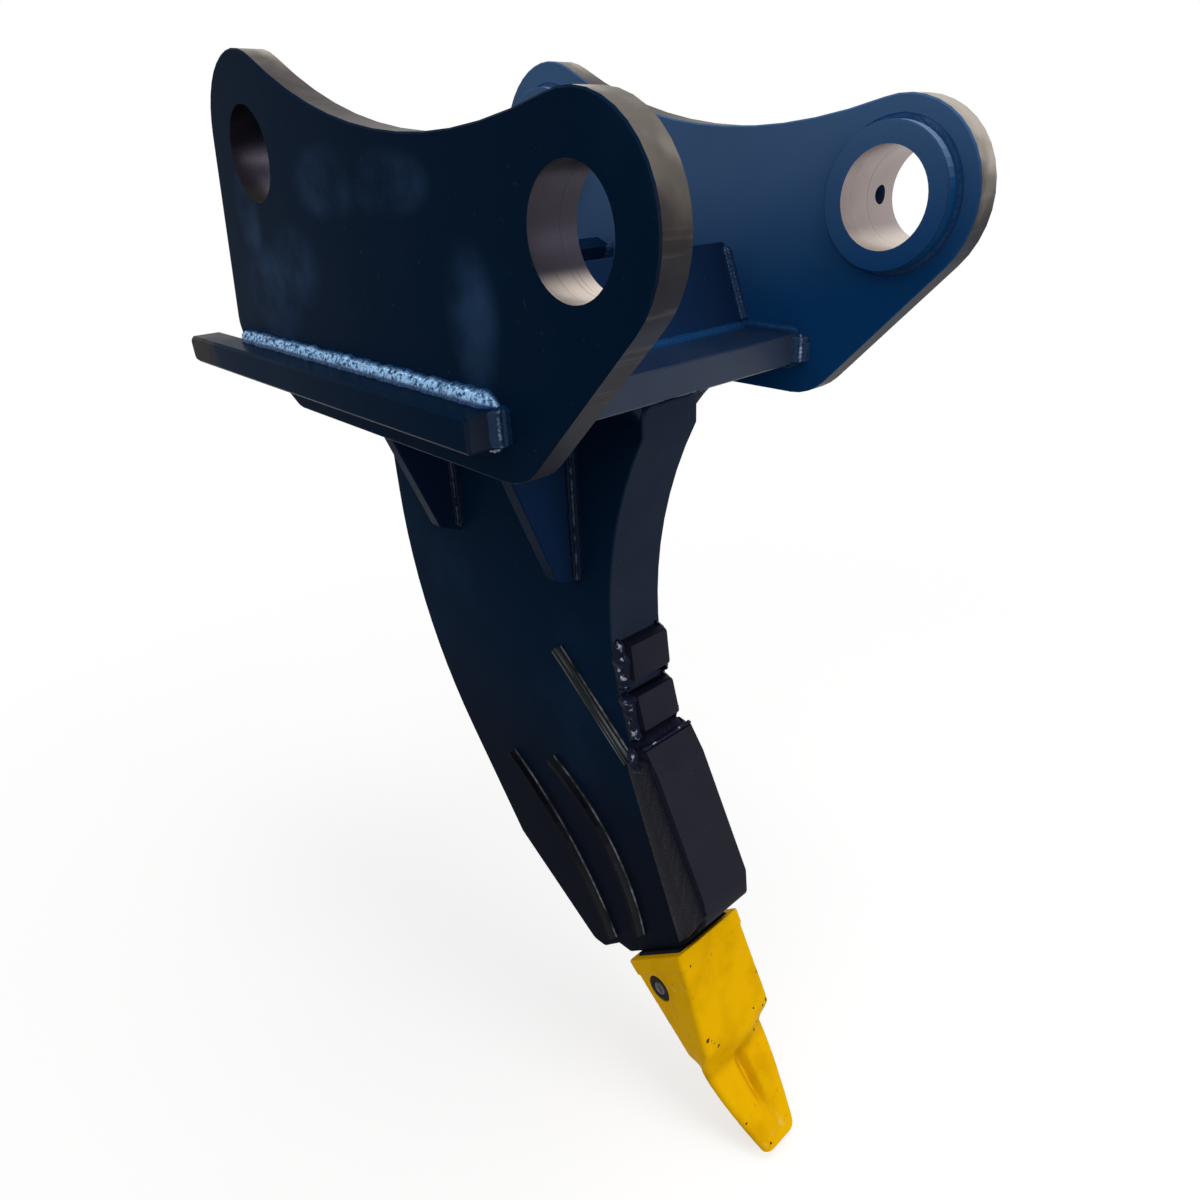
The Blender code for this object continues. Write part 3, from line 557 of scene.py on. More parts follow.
@dataclass(frozen=True)
class BoredPlate:
    """Navy enamel on a plate or ring, with bare rims and machined bores.

    The torch leaves brown scale and fine lines across the rim. The rim carries painted
    light: a painted highlight on the lobes' tops, and painted shade and overspray low
    down. A painted highlight lies on the lower half of each bore, and the far ear's bore
    walls are painted lighter than the near ear's.
    """

    name: str
    zone: PinZone
    bare_rim: bool
    paint: Enamel = NAVY
    # rim_lit is a painted highlight on the lobes' tops; rim_low is painted shade and overspray low down.
    rim_lit: Colour = srgb(176, 168, 158)
    rim_mid: Colour = srgb(90, 83, 78)
    rim_low: Colour = srgb(47, 52, 64)
    saddle: Colour = srgb(66, 58, 60)
    saddle_rear: Span = (-0.49, -0.42)
    saddle_fore: Span = (-0.02, -0.12)
    # ring_edge is a painted highlight on up-facing ring edges; ring_flank is the lighter blue of the inner
    # faces' painted light.
    ring_edge: Colour = srgb(112, 134, 168)
    ring_flank: Colour = srgb(16, 62, 108)
    ring_reach: float = 0.20
    scorch: Colour = srgb(48, 43, 42)
    # Painted light in the bores: near_wall and far_wall are shaded and lit copies of the wall; wall_glint is
    # a painted highlight.
    near_wall: Colour = srgb(56, 53, 62)
    far_wall: Colour = srgb(158, 146, 144)
    wall_glint: Colour = srgb(228, 214, 202)
    # The colour of the painted reflection patches.
    smudge: Colour = srgb(48, 76, 112)

    def smudged(self, graph: ShaderGraph, paint: Socket) -> Socket:
        """Lay soft pale patches of painted reflection on the right ear's outer face.

        Args:
            graph: The material's graph.
            paint: The clean paint.

        Returns:
            The paint, paler within each ellipse by a smooth fall times a noise.
        """
        total: Value = 0.0
        patch_noise = graph.step(graph.noise(14.0, 5.0), 0.28, 0.76)
        for mark in REFLECTION_PATCHES:
            across = graph.times(graph.minus(graph.axis(Axis.X), mark.x), 1.0 / mark.half_x)
            above = graph.times(graph.minus(graph.axis(Axis.Z), mark.z), 1.0 / mark.half_z)
            reach = graph.add(graph.times(across, across), graph.times(above, above))
            total = graph.larger(total, graph.step(reach, 2.4, 0.0))
        outer = graph.step(graph.axis(Axis.Y), -0.20, -0.21)
        return graph.mix(graph.times(graph.times(total, patch_noise), outer), paint, self.smudge)

    def rim_colour(self, graph: ShaderGraph, drag: Socket) -> Socket:
        """Work out the torch cut rim: a painted highlight on the lobes' tops, dark along
        the saddle, and darker low down as painted shade and overspray.

        Args:
            graph: The material's graph.
            drag: The noise of the torch's drag lines.

        Returns:
            The rim's colour.
        """
        height = graph.add(graph.axis(Axis.Z), graph.times(graph.noise(16.0, 3.0), 0.12))
        # Painted light on the rim: lightest up high, darkest low down.
        cut = graph.mix(graph.step(height, 0.05, 0.12), self.rim_mid, self.rim_lit)
        cut = graph.mix(graph.step(height, 0.02, 0.10), self.rim_low, cut)
        ahead = graph.axis(Axis.X)
        between = graph.times(
            graph.step(ahead, *self.saddle_rear), graph.step(ahead, *self.saddle_fore)
        )
        cut = graph.mix(graph.times(between, 0.95), cut, self.saddle)
        stains = graph.times(graph.step(graph.noise(13.0, 3.0), 0.46, 0.66), 0.72)
        cut = graph.mix(stains, cut, self.scorch)
        return graph.mix(graph.times(graph.step(drag, 0.55, 0.8), 0.10), cut, self.rim_lit)

    def flank_colour(self, graph: ShaderGraph) -> Socket:
        """Return the colour of a painted ring's edge, with a painted highlight where it faces up."""
        upward = graph.step(graph.axis(Axis.Z, graph.normal), 0.10, 0.95)
        return graph.mix(upward, self.ring_flank, self.ring_edge)

    def wall_colour(self, graph: ShaderGraph, glint_mask: Socket, turning: Socket) -> Socket:
        """Work out the bores' walls, with painted light.

        The far ear's walls are painted lighter than the near ear's, and the lower halves
        carry a painted highlight.

        Args:
            graph: The material's graph.
            glint_mask: A mask of the halves that carry the painted highlight.
            turning: The noise of the turning marks.

        Returns:
            The walls' colour.
        """
        side = graph.step(graph.axis(Axis.Y), -0.05, 0.05)
        dull = graph.mix(side, self.near_wall, self.far_wall)
        wall = graph.mix(glint_mask, dull, self.wall_glint)
        return graph.mix(graph.times(graph.step(turning, 0.5, 0.75), 0.3), wall, dull)

    def build(self) -> Material:
        """Make the material.

        Returns:
            The material.
        """
        graph = ShaderGraph(self.name)
        edge, wall, glint_mask = self.zone.masks(graph)
        drag = graph.noise(150.0, 3.0, (1.0, 0.05, 1.0))
        turning = graph.noise(90.0, 3.0, (0.2, 8.0, 0.2))
        colour = self.smudged(graph, self.paint.colour(graph))
        bare = wall
        relief = self.paint.relief(graph)
        if self.bare_rim:
            rim = graph.minus(edge, wall, clamp=True)
            colour = graph.mix(rim, colour, self.rim_colour(graph, drag))
            bare = graph.add(graph.times(rim, 0.22), wall)
            relief = graph.bump(graph.times(drag, rim), 0.00015, relief)
        else:
            reach = graph.math(Operation.ABSOLUTE, graph.axis(Axis.Y))
            inside = graph.math(Operation.LESS_THAN, reach, self.ring_reach)
            colour = graph.mix(graph.times(edge, inside), colour, self.flank_colour(graph))
        colour = graph.mix(wall, colour, self.wall_colour(graph, glint_mask, turning))
        worn = graph.span(graph.noise(60.0, 4.0), 0.28, 0.46)
        sprayed = graph.span(graph.noise(9.0, 5.0), *self.paint.roughness)
        painted = graph.minus(1.0, bare, clamp=True)
        graph.set(
            Base_Color=colour,
            Metallic=graph.math(Operation.MULTIPLY, bare, 0.9, clamp=True),
            Roughness=graph.add(graph.times(sprayed, painted), graph.times(worn, bare)),
            Normal=graph.bump(graph.times(turning, wall), 0.0001, relief),
            Specular_IOR_Level=self.paint.gloss,
        )
        return graph.material


@dataclass(frozen=True)
class WeldFinish:
    """Weld metal that shows through its paint along the crests, laid bright as a painted
    highlight along the crown.
    """

    name: str
    paint: Colour
    metal: Colour
    bare: float
    gloss: float
    grain: float = 0.0003
    speck: float = 300.0
    cover: Span = (0.38, 0.60)
    ridge: Span = (0.30, 0.80)

    def build(self) -> Material:
        """Make the material, which reads the bead's own crest value.

        Returns:
            The material.
        """
        graph = ShaderGraph(self.name)
        crest = graph.step(graph.attribute("crest"), *self.ridge)
        specks = graph.step(graph.noise(self.speck, 3.0), *self.cover)
        # Bare metal and a painted highlight along the crown, broken by specks.
        crest_highlight = graph.times(graph.times(crest, specks), self.bare)
        graph.set(
            Base_Color=graph.mix(crest_highlight, self.paint, self.metal),
            Metallic=graph.times(crest_highlight, 0.5),
            Roughness=graph.span(graph.noise(150.0), 0.16, 0.38),
            Normal=graph.bump(graph.noise(480.0, 3.0), self.grain),
            Specular_IOR_Level=self.gloss,
        )
        return graph.material


# The metal colours are bare weld metal brightened into a painted highlight along the crowns.
BRIGHT_WELD = WeldFinish(
    name="bright_weld", paint=srgb(24, 72, 124), metal=srgb(166, 212, 255), bare=0.95,
    gloss=0.16, speck=240.0, cover=(0.34, 0.56), ridge=(0.12, 0.60),
)
PAINTED_WELD = WeldFinish(
    name="painted_weld", paint=srgb(18, 50, 86), metal=srgb(172, 192, 222), bare=0.70,
    gloss=0.16, grain=0.00015, speck=140.0, cover=(0.36, 0.60), ridge=(0.55, 0.95),
)
# The fillets' paint is the lighter blue of the inner faces' painted light.
FILLET_WELD = WeldFinish(
    name="fillet_weld", paint=srgb(16, 54, 96), metal=srgb(50, 90, 140), bare=0.20,
    gloss=0.04, grain=0.00005,
)
DARK_WELD = WeldFinish(
    name="dark_weld", paint=srgb(12, 26, 50), metal=srgb(92, 112, 146), bare=0.45,
    gloss=0.06, grain=0.0002, speck=120.0, ridge=(0.45, 0.90),
)
GREY_WELD = WeldFinish(
    name="grey_weld", paint=srgb(15, 17, 30), metal=srgb(92, 92, 104), bare=0.26,
    gloss=0.03, grain=0.0006, speck=330.0,
)
GLINT_WELD = WeldFinish(
    name="glint_weld", paint=srgb(12, 22, 44), metal=srgb(200, 206, 222), bare=0.75,
    gloss=0.08, speck=120.0, cover=(0.54, 0.66),
)
LINE_WELD = WeldFinish(
    name="line_weld", paint=srgb(16, 20, 30), metal=srgb(136, 140, 150), bare=0.60,
    gloss=0.06, speck=24.0, cover=(0.36, 0.62), ridge=(0.50, 0.84),
)


@dataclass(frozen=True)
class CastYellow:
    """Satin yellow paint on a casting, with ochre stains, scuffs and brown chips, and
    painted shade in the groove and under the shoulder.
    """

    name: str = "cast_yellow"
    yellow: Colour = srgb(240, 183, 0)
    ochre: Colour = srgb(204, 148, 0)
    rubbed: Colour = srgb(236, 204, 110)
    # grime is real dirt, and in the groove and under the shoulder it is painted shade.
    grime: Colour = srgb(122, 84, 14)
    chip: Colour = srgb(84, 60, 30)
    gloss: float = 0.015

    def build(self) -> Material:
        """Make the material, which reads the casting's wear, chip and hollow values.

        Returns:
            The material.
        """
        graph = ShaderGraph(self.name)
        wear = graph.attribute("wear")
        stain = graph.step(graph.noise(22.0, 6.0), 0.42, 0.76)
        colour = graph.mix(graph.times(stain, 0.60), self.yellow, self.ochre)
        patches = graph.noise(60.0, 6.0)
        pale = graph.step(graph.add(patches, graph.times(wear, 0.22)), 0.68, 0.84)
        colour = graph.mix(graph.times(pale, 0.45), colour, self.rubbed)
        dirt = graph.step(graph.add(graph.noise(95.0, 5.0), graph.times(wear, 0.10)), 0.66, 0.80)
        colour = graph.mix(graph.times(dirt, 0.35), colour, self.grime)
        # Painted shade: the groove and the shoulder's foot darken towards grime.
        depth = graph.span(graph.noise(50.0, 4.0), 0.15, 0.45)
        colour = graph.mix(graph.times(graph.attribute("hollow"), depth), colour, self.grime)
        flecks = graph.add(graph.noise(210.0, 4.0), graph.times(graph.attribute("chip"), 0.45))
        chips = graph.step(graph.add(flecks, graph.times(wear, 0.06)), 0.76, 0.82)
        colour = graph.mix(chips, colour, self.chip)
        cast = graph.bump(graph.noise(190.0, 4.0), 0.0004)
        graph.set(
            Base_Color=colour,
            Roughness=graph.span(graph.noise(40.0, 5.0), 0.36, 0.58),
            Normal=graph.bump(graph.times(chips, -1.0), 0.0004, cast),
            Specular_IOR_Level=self.gloss,
        )
        return graph.material


@dataclass(frozen=True)
class PinSteel:
    """Dull turned steel of the tooth pin, rusty and grimy in its scratches."""

    name: str = "pin_steel"
    steel: Colour = srgb(76, 74, 84)
    rust: Colour = srgb(48, 36, 32)

    def build(self) -> Material:
        """Make the material.

        Returns:
            The material.
        """
        graph = ShaderGraph(self.name)
        rust = graph.step(graph.noise(150.0, 5.0), 0.42, 0.62)
        graph.set(
            Base_Color=graph.mix(rust, self.steel, self.rust),
            Metallic=0.6,
            Roughness=graph.span(graph.noise(300.0, 3.0), 0.32, 0.6),
            Normal=graph.bump(graph.noise(600.0, 2.0), 0.0004),
        )
        return graph.material


@dataclass(frozen=True)
class RingRubber:
    """Matt black rubber of the lock rings, dusty in places."""

    name: str = "ring_rubber"
    black: Colour = srgb(20, 16, 15)
    dust: Colour = srgb(64, 50, 28)

    def build(self) -> Material:
        """Make the material.

        Returns:
            The material.
        """
        graph = ShaderGraph(self.name)
        dust = graph.times(graph.step(graph.noise(240.0, 4.0), 0.58, 0.8), 0.4)
        graph.set(
            Base_Color=graph.mix(dust, self.black, self.dust),
            Roughness=graph.span(graph.noise(200.0), 0.6, 0.85),
            Normal=graph.bump(graph.noise(700.0, 2.0), 0.0002),
            Specular_IOR_Level=0.15,
        )
        return graph.material


@dataclass(frozen=True)
class Palette:
    """The materials that the sub-assemblies share, each built once."""

    navy: Material = field(default_factory=NAVY.build)
    rib: Material = field(default_factory=RIB_NAVY.build)
    plate: Material = field(default_factory=PLATE_NAVY.build)
    black: Material = field(default_factory=BLACK.build)
    strip: Material = field(default_factory=STRIP_BLACK.build)
    bright: Material = field(default_factory=BRIGHT_WELD.build)
    painted: Material = field(default_factory=PAINTED_WELD.build)
    fillet: Material = field(default_factory=FILLET_WELD.build)
    dark: Material = field(default_factory=DARK_WELD.build)
    grey: Material = field(default_factory=GREY_WELD.build)
    glint: Material = field(default_factory=GLINT_WELD.build)
    thin: Material = field(default_factory=LINE_WELD.build)
    yellow: Material = field(default_factory=CastYellow().build)
    steel: Material = field(default_factory=PinSteel().build)
    rubber: Material = field(default_factory=RingRubber().build)


def smooth(share: np.ndarray) -> np.ndarray:
    """Return the smooth step 3 s squared minus 2 s cubed, held between 0 and 1."""
    share = np.clip(share, 0.0, 1.0)
    return share * share * (3.0 - 2.0 * share)


def blend(first: float | np.ndarray, last: float | np.ndarray, share: float | np.ndarray) -> np.ndarray:
    """Return the value that lies share of the way from first to last."""
    return first + (last - first) * share


def waves(*terms: np.ndarray, seed: float = 0.0) -> np.ndarray:
    """Return slow uneven waves between -1 and 1, as a mean of sines of the arguments.

    Args:
        terms: Arrays that broadcast together, in radians.
        seed: A phase that makes one piece differ from the next.

    Returns:
        The mean of five sines whose frequencies have no common ratio.
    """
    total = 0.0
    for order, rate in enumerate((1.0, 1.73, 2.61, 3.94, 5.37)):
        angle = seed * (order + 1.3) + order
        for index, term in enumerate(terms):
            angle = angle + term * rate * (1.0 + 0.37 * index)
        total = total + np.sin(angle)
    return total / 5.0


def add_piece(
    name: str, mesh: bpy.types.Mesh, material: Material, sharp: float = 30.0
) -> bpy.types.Object:
    """Link a mesh as a piece that rides on the part, shaded smooth up to an angle.

    Args:
        name: The piece's name.
        mesh: Its mesh, in place.
        material: The finish.
        sharp: Degrees between faces past which an edge stays sharp.

    Returns:
        The new object.
    """
    mesh.materials.clear()
    mesh.materials.append(material)
    mesh.shade_smooth()
    mesh.set_sharp_from_angle(angle=math.radians(sharp))
    piece = bpy.data.objects.new(name, mesh)
    bpy.context.scene.collection.objects.link(piece)
    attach(piece, ROOT_BODY)
    LOG.info("%s: %d faces in %s", name, len(mesh.polygons), material.name)
    return piece


def turn_outward(mesh: bpy.types.Mesh, merge: float = 0.0) -> None:
    """Turn a closed mesh's faces outwards.

    Args:
        mesh: The mesh.
        merge: Distance below which points are merged first, or 0 for none.
    """
    shape = bmesh.new()
    shape.from_mesh(mesh)
    if merge > 0.0:
        bmesh.ops.remove_doubles(shape, verts=shape.verts, dist=merge)
    bmesh.ops.recalc_face_normals(shape, faces=shape.faces)
    shape.to_mesh(mesh)
    shape.free()


def dress_node(node: str, material: Material) -> bpy.types.Object:
    """Stand a merged, smoothly shaded copy in for a CAD node.

    Args:
        node: The CAD node's name.
        material: The finish.

    Returns:
        The copy, whose form is the solid's own.
    """
    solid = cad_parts[node].data
    places = np.empty(len(solid.vertices) * 3)
    solid.vertices.foreach_get("co", places)
    corners = np.empty(len(solid.loops), dtype=np.int32)
    solid.loops.foreach_get("vertex_index", corners)
    mesh = bpy.data.meshes.new(f"{node}_dressed")
    mesh.from_pydata(places.reshape(-1, 3).tolist(), [], corners.reshape(-1, 3).tolist())
    turn_outward(mesh, merge=0.00002)
    piece = add_piece(f"{node}_dressed", mesh, material)
    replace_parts(piece, node)
    return piece


def grid_mesh(
    name: str, points: np.ndarray, values: dict[str, np.ndarray] | None = None,
    ring: bool = False,
) -> bpy.types.Mesh:
    """Skin a grid of points whose columns go round.

    Args:
        name: The mesh's name.
        points: Places, as an array of rows by columns by 3.
        values: Numbers that the mesh carries at each point, by name.
        ring: Whether the last row joins the first one, in place of a cap on each.

    Returns:
        The closed mesh, with its faces turned outwards.
    """
    rows, columns = points.shape[:2]
    index = np.arange(rows * columns).reshape(rows, columns)
    caps = [] if ring else [index[0, ::-1].tolist(), index[-1].tolist()]
    if ring:
        index = np.concatenate([index, index[:1]])
    beside = np.roll(index, -1, axis=1)
    quads = np.stack([index[:-1], beside[:-1], beside[1:], index[1:]], axis=-1).reshape(-1, 4)
    mesh = bpy.data.meshes.new(name)
    mesh.from_pydata(points.reshape(-1, 3).tolist(), [], quads.tolist() + caps)
    turn_outward(mesh)
    for title, numbers in (values or {}).items():
        layer = mesh.attributes.new(title, "FLOAT", "POINT")
        layer.data.foreach_set("value", np.ascontiguousarray(numbers, dtype=np.float32).ravel())
    return mesh


@dataclass
class Layout:
    """Driving lengths that the looks share with the solids, and places read from them.

    The fields down to shank_setback are sizes. The rest are read from the solids' boxes or
    follow from the sizes.
    """

    pin_spacing: float = 0.505
    pin_tilt: float = math.radians(7.3)
    bore_radius: float = 0.04525
    waist_drop: float = 0.2655
    waist_setback: float = 0.0596
    front_arc_radius: float = 0.468
    front_rake: float = math.radians(26.5)
    tooth_dip: float = math.radians(46.7)
    mouth_drop: float = 0.910
    mouth_setback: float = 0.0936
    cross_lean: float = math.radians(21.0)
    cross_length: float = 0.095
    cross_thickness: float = 0.025
    block_length: float = 0.050
    first_block_at: float = 0.054
    block_pitch: float = 0.0695
    shroud_gap: float = 0.020
    shroud_top_thickness: float = 0.024
    shank_setback: float = 0.018
    pins: tuple[Span, Span] = field(init=False)
    arc_centre: Span = field(init=False)
    shroud_top: float = field(init=False)
    ear_inner: float = field(init=False)
    ear_outer: float = field(init=False)
    ear_rear: float = field(init=False)
    plate_top: float = field(init=False)
    plate_bottom: float = field(init=False)
    plate_front: float = field(init=False)
    plate_rear: float = field(init=False)
    shank_side: float = field(init=False)
    shank_front: float = field(init=False)
    block_side: float = field(init=False)
    shroud_side: float = field(init=False)

    def __post_init__(self) -> None:
        """Read the solids' boxes and work out the shared places."""
        ear_low, ear_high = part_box("left_ear")
        plate_low, plate_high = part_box("base_plate")
        self.ear_inner, self.ear_outer = ear_low[1], ear_high[1]
        self.ear_rear = ear_low[0]
        self.plate_top, self.plate_bottom = plate_high[2], plate_low[2]
        self.plate_front, self.plate_rear = plate_high[0], plate_low[0]
        self.shank_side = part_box("shank")[1][1]
        self.shank_front = self.plate_front - self.shank_setback
        self.block_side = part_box("upper_wear_block")[1][1]
        self.shroud_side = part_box("front_shroud")[1][1]
        rear_x = -math.cos(self.pin_tilt) * self.pin_spacing
        rear_z = math.sin(self.pin_tilt) * self.pin_spacing
        self.pins = ((0.0, 0.0), (rear_x, rear_z))
        self.arc_centre = (
            self.shank_front - self.waist_setback + self.front_arc_radius,
            self.plate_bottom - self.waist_drop,
        )
        last_block_end = self.first_block_at + self.block_pitch + self.block_length / 2
        self.shroud_top = last_block_end + self.shroud_gap

    def front_edge(self, distance: np.ndarray, offset: float) -> tuple[np.ndarray, np.ndarray]:
        """Follow the shank's front edge down from its waist.

        The edge is an arc and then its tangent. A place is the arc's centre minus the
        unit radius times (radius - offset), and past the arc's end it is moved along the
        tangent by the rest of the distance.

        Args:
            distance: Lengths down the edge from the waist, negative above it.
            offset: How far in front of the edge the places lie.

        Returns:
            Places and outward normals, as arrays of 3 columns with Y at 0.
        """
        distance = np.atleast_1d(np.asarray(distance, dtype=float))
        angle = np.minimum(distance / self.front_arc_radius, self.front_rake)
        beyond = np.maximum(distance - self.front_arc_radius * self.front_rake, 0.0)
        reach = self.front_arc_radius - offset
        x = self.arc_centre[0] - np.cos(angle) * reach + np.sin(angle) * beyond
        z = self.arc_centre[1] - np.sin(angle) * reach - np.cos(angle) * beyond
        zero = np.zeros_like(x)
        normals = np.stack([np.cos(angle), zero, np.sin(angle)], axis=-1)
        return np.stack([x, zero, z], axis=-1), normals

    def tooth_place(
        self, along: float | np.ndarray, across: float | np.ndarray, above: float | np.ndarray
    ) -> np.ndarray:
        """Turn lengths in the tooth's own frame into places.

        Args:
            along: Lengths down the tooth's axis from its mouth.
            across: Lengths across it.
            above: Lengths square to it, on the digging side.

        Returns:
            Places, with one more dimension than the lengths.
        """
        along, across, above = np.broadcast_arrays(along, across, above)
        cosine, sine = math.cos(self.tooth_dip), math.sin(self.tooth_dip)
        x = -self.mouth_setback + along * cosine + above * sine
        z = -self.mouth_drop - along * sine + above * cosine
        return np.stack([x, across, z], axis=-1)


def resample(path: np.ndarray, count: int, *others: np.ndarray) -> tuple[np.ndarray, ...]:
    """Divide a path evenly by its length and carry other values along.

    Args:
        path: Places in order.
        count: How many places to return.
        others: Directions, one for each place or one for all.

    Returns:
        The run, the new places and the new directions.
    """
    path = np.asarray(path, dtype=float)
    run = np.concatenate([[0.0], np.cumsum(np.linalg.norm(np.diff(path, axis=0), axis=1))])
    even = np.linspace(0.0, run[-1], count)
    followed = []
    for values in (path, *others):
        columns = np.broadcast_to(values, path.shape).T
        followed.append(np.stack([np.interp(even, run, column) for column in columns], axis=-1))
    return (even, *followed)


def path_length(path: np.ndarray) -> float:
    """Return a path's length."""
    return float(np.linalg.norm(np.diff(np.asarray(path, dtype=float), axis=0), axis=1).sum())


def line(start: Place, end: Place) -> np.ndarray:
    """Return a straight path between two places."""
    return np.array([start, end], dtype=float)


UP = np.array([0.0, 0.0, 1.0])
AHEAD = np.array([1.0, 0.0, 0.0])
LEFT = np.array([0.0, 1.0, 0.0])


@dataclass(frozen=True)
class BeadStyle:
    """How a weld bead is laid.

    Attributes:
        leg: Length of the second leg.
        crown: Height of the crown, in legs.
        pitch: Distance from ripple to ripple.
        ripple: Height of the ripples, in legs.
        wander: How far the leg strays, as a share.
        rise: Length of the first leg, in legs.
        taper: Length of an open end, in legs.
        passes: How many ridges the crown has.
        columns: Points across one ridge.
    """

    leg: float = 0.007
    crown: float = 0.28
    pitch: float = 0.0045
    ripple: float = 0.10
    wander: float = 0.10
    rise: float = 1.0
    taper: float = 1.0
    passes: int = 1
    columns: int = 9


@dataclass(frozen=True)
class WeldBead:
    """One weld bead, laid along a path in the corner between two faces."""

    name: str
    path: np.ndarray
    first_face: np.ndarray
    second_face: np.ndarray
    style: BeadStyle
    seed: float
    closed: bool = False
    root_depth: float = 0.0002

    def bow(self, v: np.ndarray) -> np.ndarray:
        """Return the crown's height across the bead, an arch with a ridge for each pass."""
        arch = np.sin(np.pi * v)
        ridges = 0.5 + 0.5 * np.abs(np.sin(self.style.passes * np.pi * v))
        return arch * ridges if self.style.passes > 1 else arch

    def build(self, material: Material) -> bpy.types.Object:
        """Work out the bead's surface.

        With v from 0 to 1 across it, a point is the corner plus rise leg (1 - v) along
        the first face, leg v along the second, and crown sin(pi v) away from both.
        Crescents of the freezing pool lift the crown by cos(2 pi s / pitch) along the
        run s, and the leg swells with slow waves and shrinks at open ends. More than one
        pass gives the crown that many ridges.

        Args:
            material: The finish.

        Returns:
            The bead.
        """
        style = self.style
        count = max(int(path_length(self.path) / style.pitch * 4), 8)
        run, places, first, second = resample(self.path, count, self.first_face, self.second_face)
        v = np.linspace(0.0, 1.0, style.columns * style.passes)[None, :]
        s = run[:, None]
        bow = self.bow(v)
        jitter = waves(s * 130.0, v * 2.0, seed=self.seed)
        crescent = s / style.pitch + 0.8 * (2.0 * v - 1.0) ** 2
        ripples = np.cos(2.0 * np.pi * crescent + 0.9 * jitter)
        size = style.leg * (1.0 + style.wander * waves(s * 60.0, seed=self.seed + 2.0))
        if not self.closed:
            ends = np.minimum(run, run[-1] - run)[:, None]
            size = size * np.sqrt(np.clip(ends / (style.leg * style.taper), 0.04, 1.0))
        bulge = size * (style.crown * bow + style.ripple * ripples * bow + 0.04 * jitter)
        middle = first + second
        middle = (middle / np.linalg.norm(middle, axis=1, keepdims=True))[:, None, :]
        surface = (
            places[:, None, :]
            + (style.rise * size * (1.0 - v))[..., None] * first[:, None, :]
            + (size * v)[..., None] * second[:, None, :]
            + bulge[..., None] * middle
        )
        root = places[:, None, :] - self.root_depth * middle
        # crest is the crown's height, where the weld finishes lay their painted highlight.
        crest = np.concatenate([bow ** 1.5 * (0.88 + 0.12 * ripples), np.zeros((count, 1))], axis=1)
        mesh = grid_mesh(self.name, np.concatenate([surface, root], axis=1), {"crest": crest})
        return add_piece(self.name, mesh, material, sharp=80.0)


@dataclass(frozen=True)
class WeldBand:
    """A rough, flat run of weld laid on one face, side by side passes blended together."""

    name: str
    path: np.ndarray
    face: np.ndarray
    across: np.ndarray
    start_width: float
    end_width: float
    seed: float
    height: float = 0.0055
    slant: float = 0.76
    step: float = 0.0011

    def build(self, material: Material) -> bpy.types.Object:
        """Work out the band's surface.

        With a from 0 to pi across it, a point is the path plus half the width times
        cos(a) across and the height times a power of sin(a) off the face, with lumps
        and scales along the run that are strongest on the fore half. The width grows
        evenly, and the end is drawn back by the slant times the place across.

        Args:
            material: The finish.

        Returns:
            The band.
        """
        count = int(path_length(self.path) / self.step)
        run, places, face, across = resample(self.path, count, self.face, self.across)
        angle = np.linspace(0.0, np.pi, 27)[None, :]
        s = run[:, None]
        side = np.cos(angle)
        rough = 0.25 + 0.75 * smooth((side + 0.5) / 0.7)
        lumps = waves(s * 150.0, side * 4.3, seed=self.seed) * rough
        scales = np.cos(2.0 * np.pi * (s / 0.0050 + 0.9 * side ** 2 + 0.6 * lumps)) * rough
        ends = np.sqrt(np.clip(np.minimum(run, run[-1] - run)[:, None] / 0.003, 0.03, 1.0))
        width = blend(self.start_width, self.end_width, s / run[-1])
        half = 0.5 * width * (1.0 + 0.02 * waves(s * 90.0, seed=self.seed + 1.0)) * ends
        flat = np.abs(np.sin(angle)) ** 0.35
        rise = self.height * flat * ends * (1.0 + 0.06 * lumps + 0.006 * scales)
        tangent = np.gradient(places, axis=0)
        tangent = tangent / np.linalg.norm(tangent, axis=1, keepdims=True)
        drawn = -self.slant * half * side * s / run[-1]
        points = places[:, None, :] + (half * side)[..., None] * across[:, None, :]
        points = points + drawn[..., None] * tangent[:, None, :]
        points = points + rise[..., None] * face[:, None, :]
        # crest is the band's height, where its finish lays a painted highlight.
        crest = np.clip(0.52 + 0.02 * scales + 0.2 * lumps, 0.0, 1.0) * flat * rough
        mesh = grid_mesh(self.name, points, {"crest": crest})
        return add_piece(self.name, mesh, material, sharp=80.0)


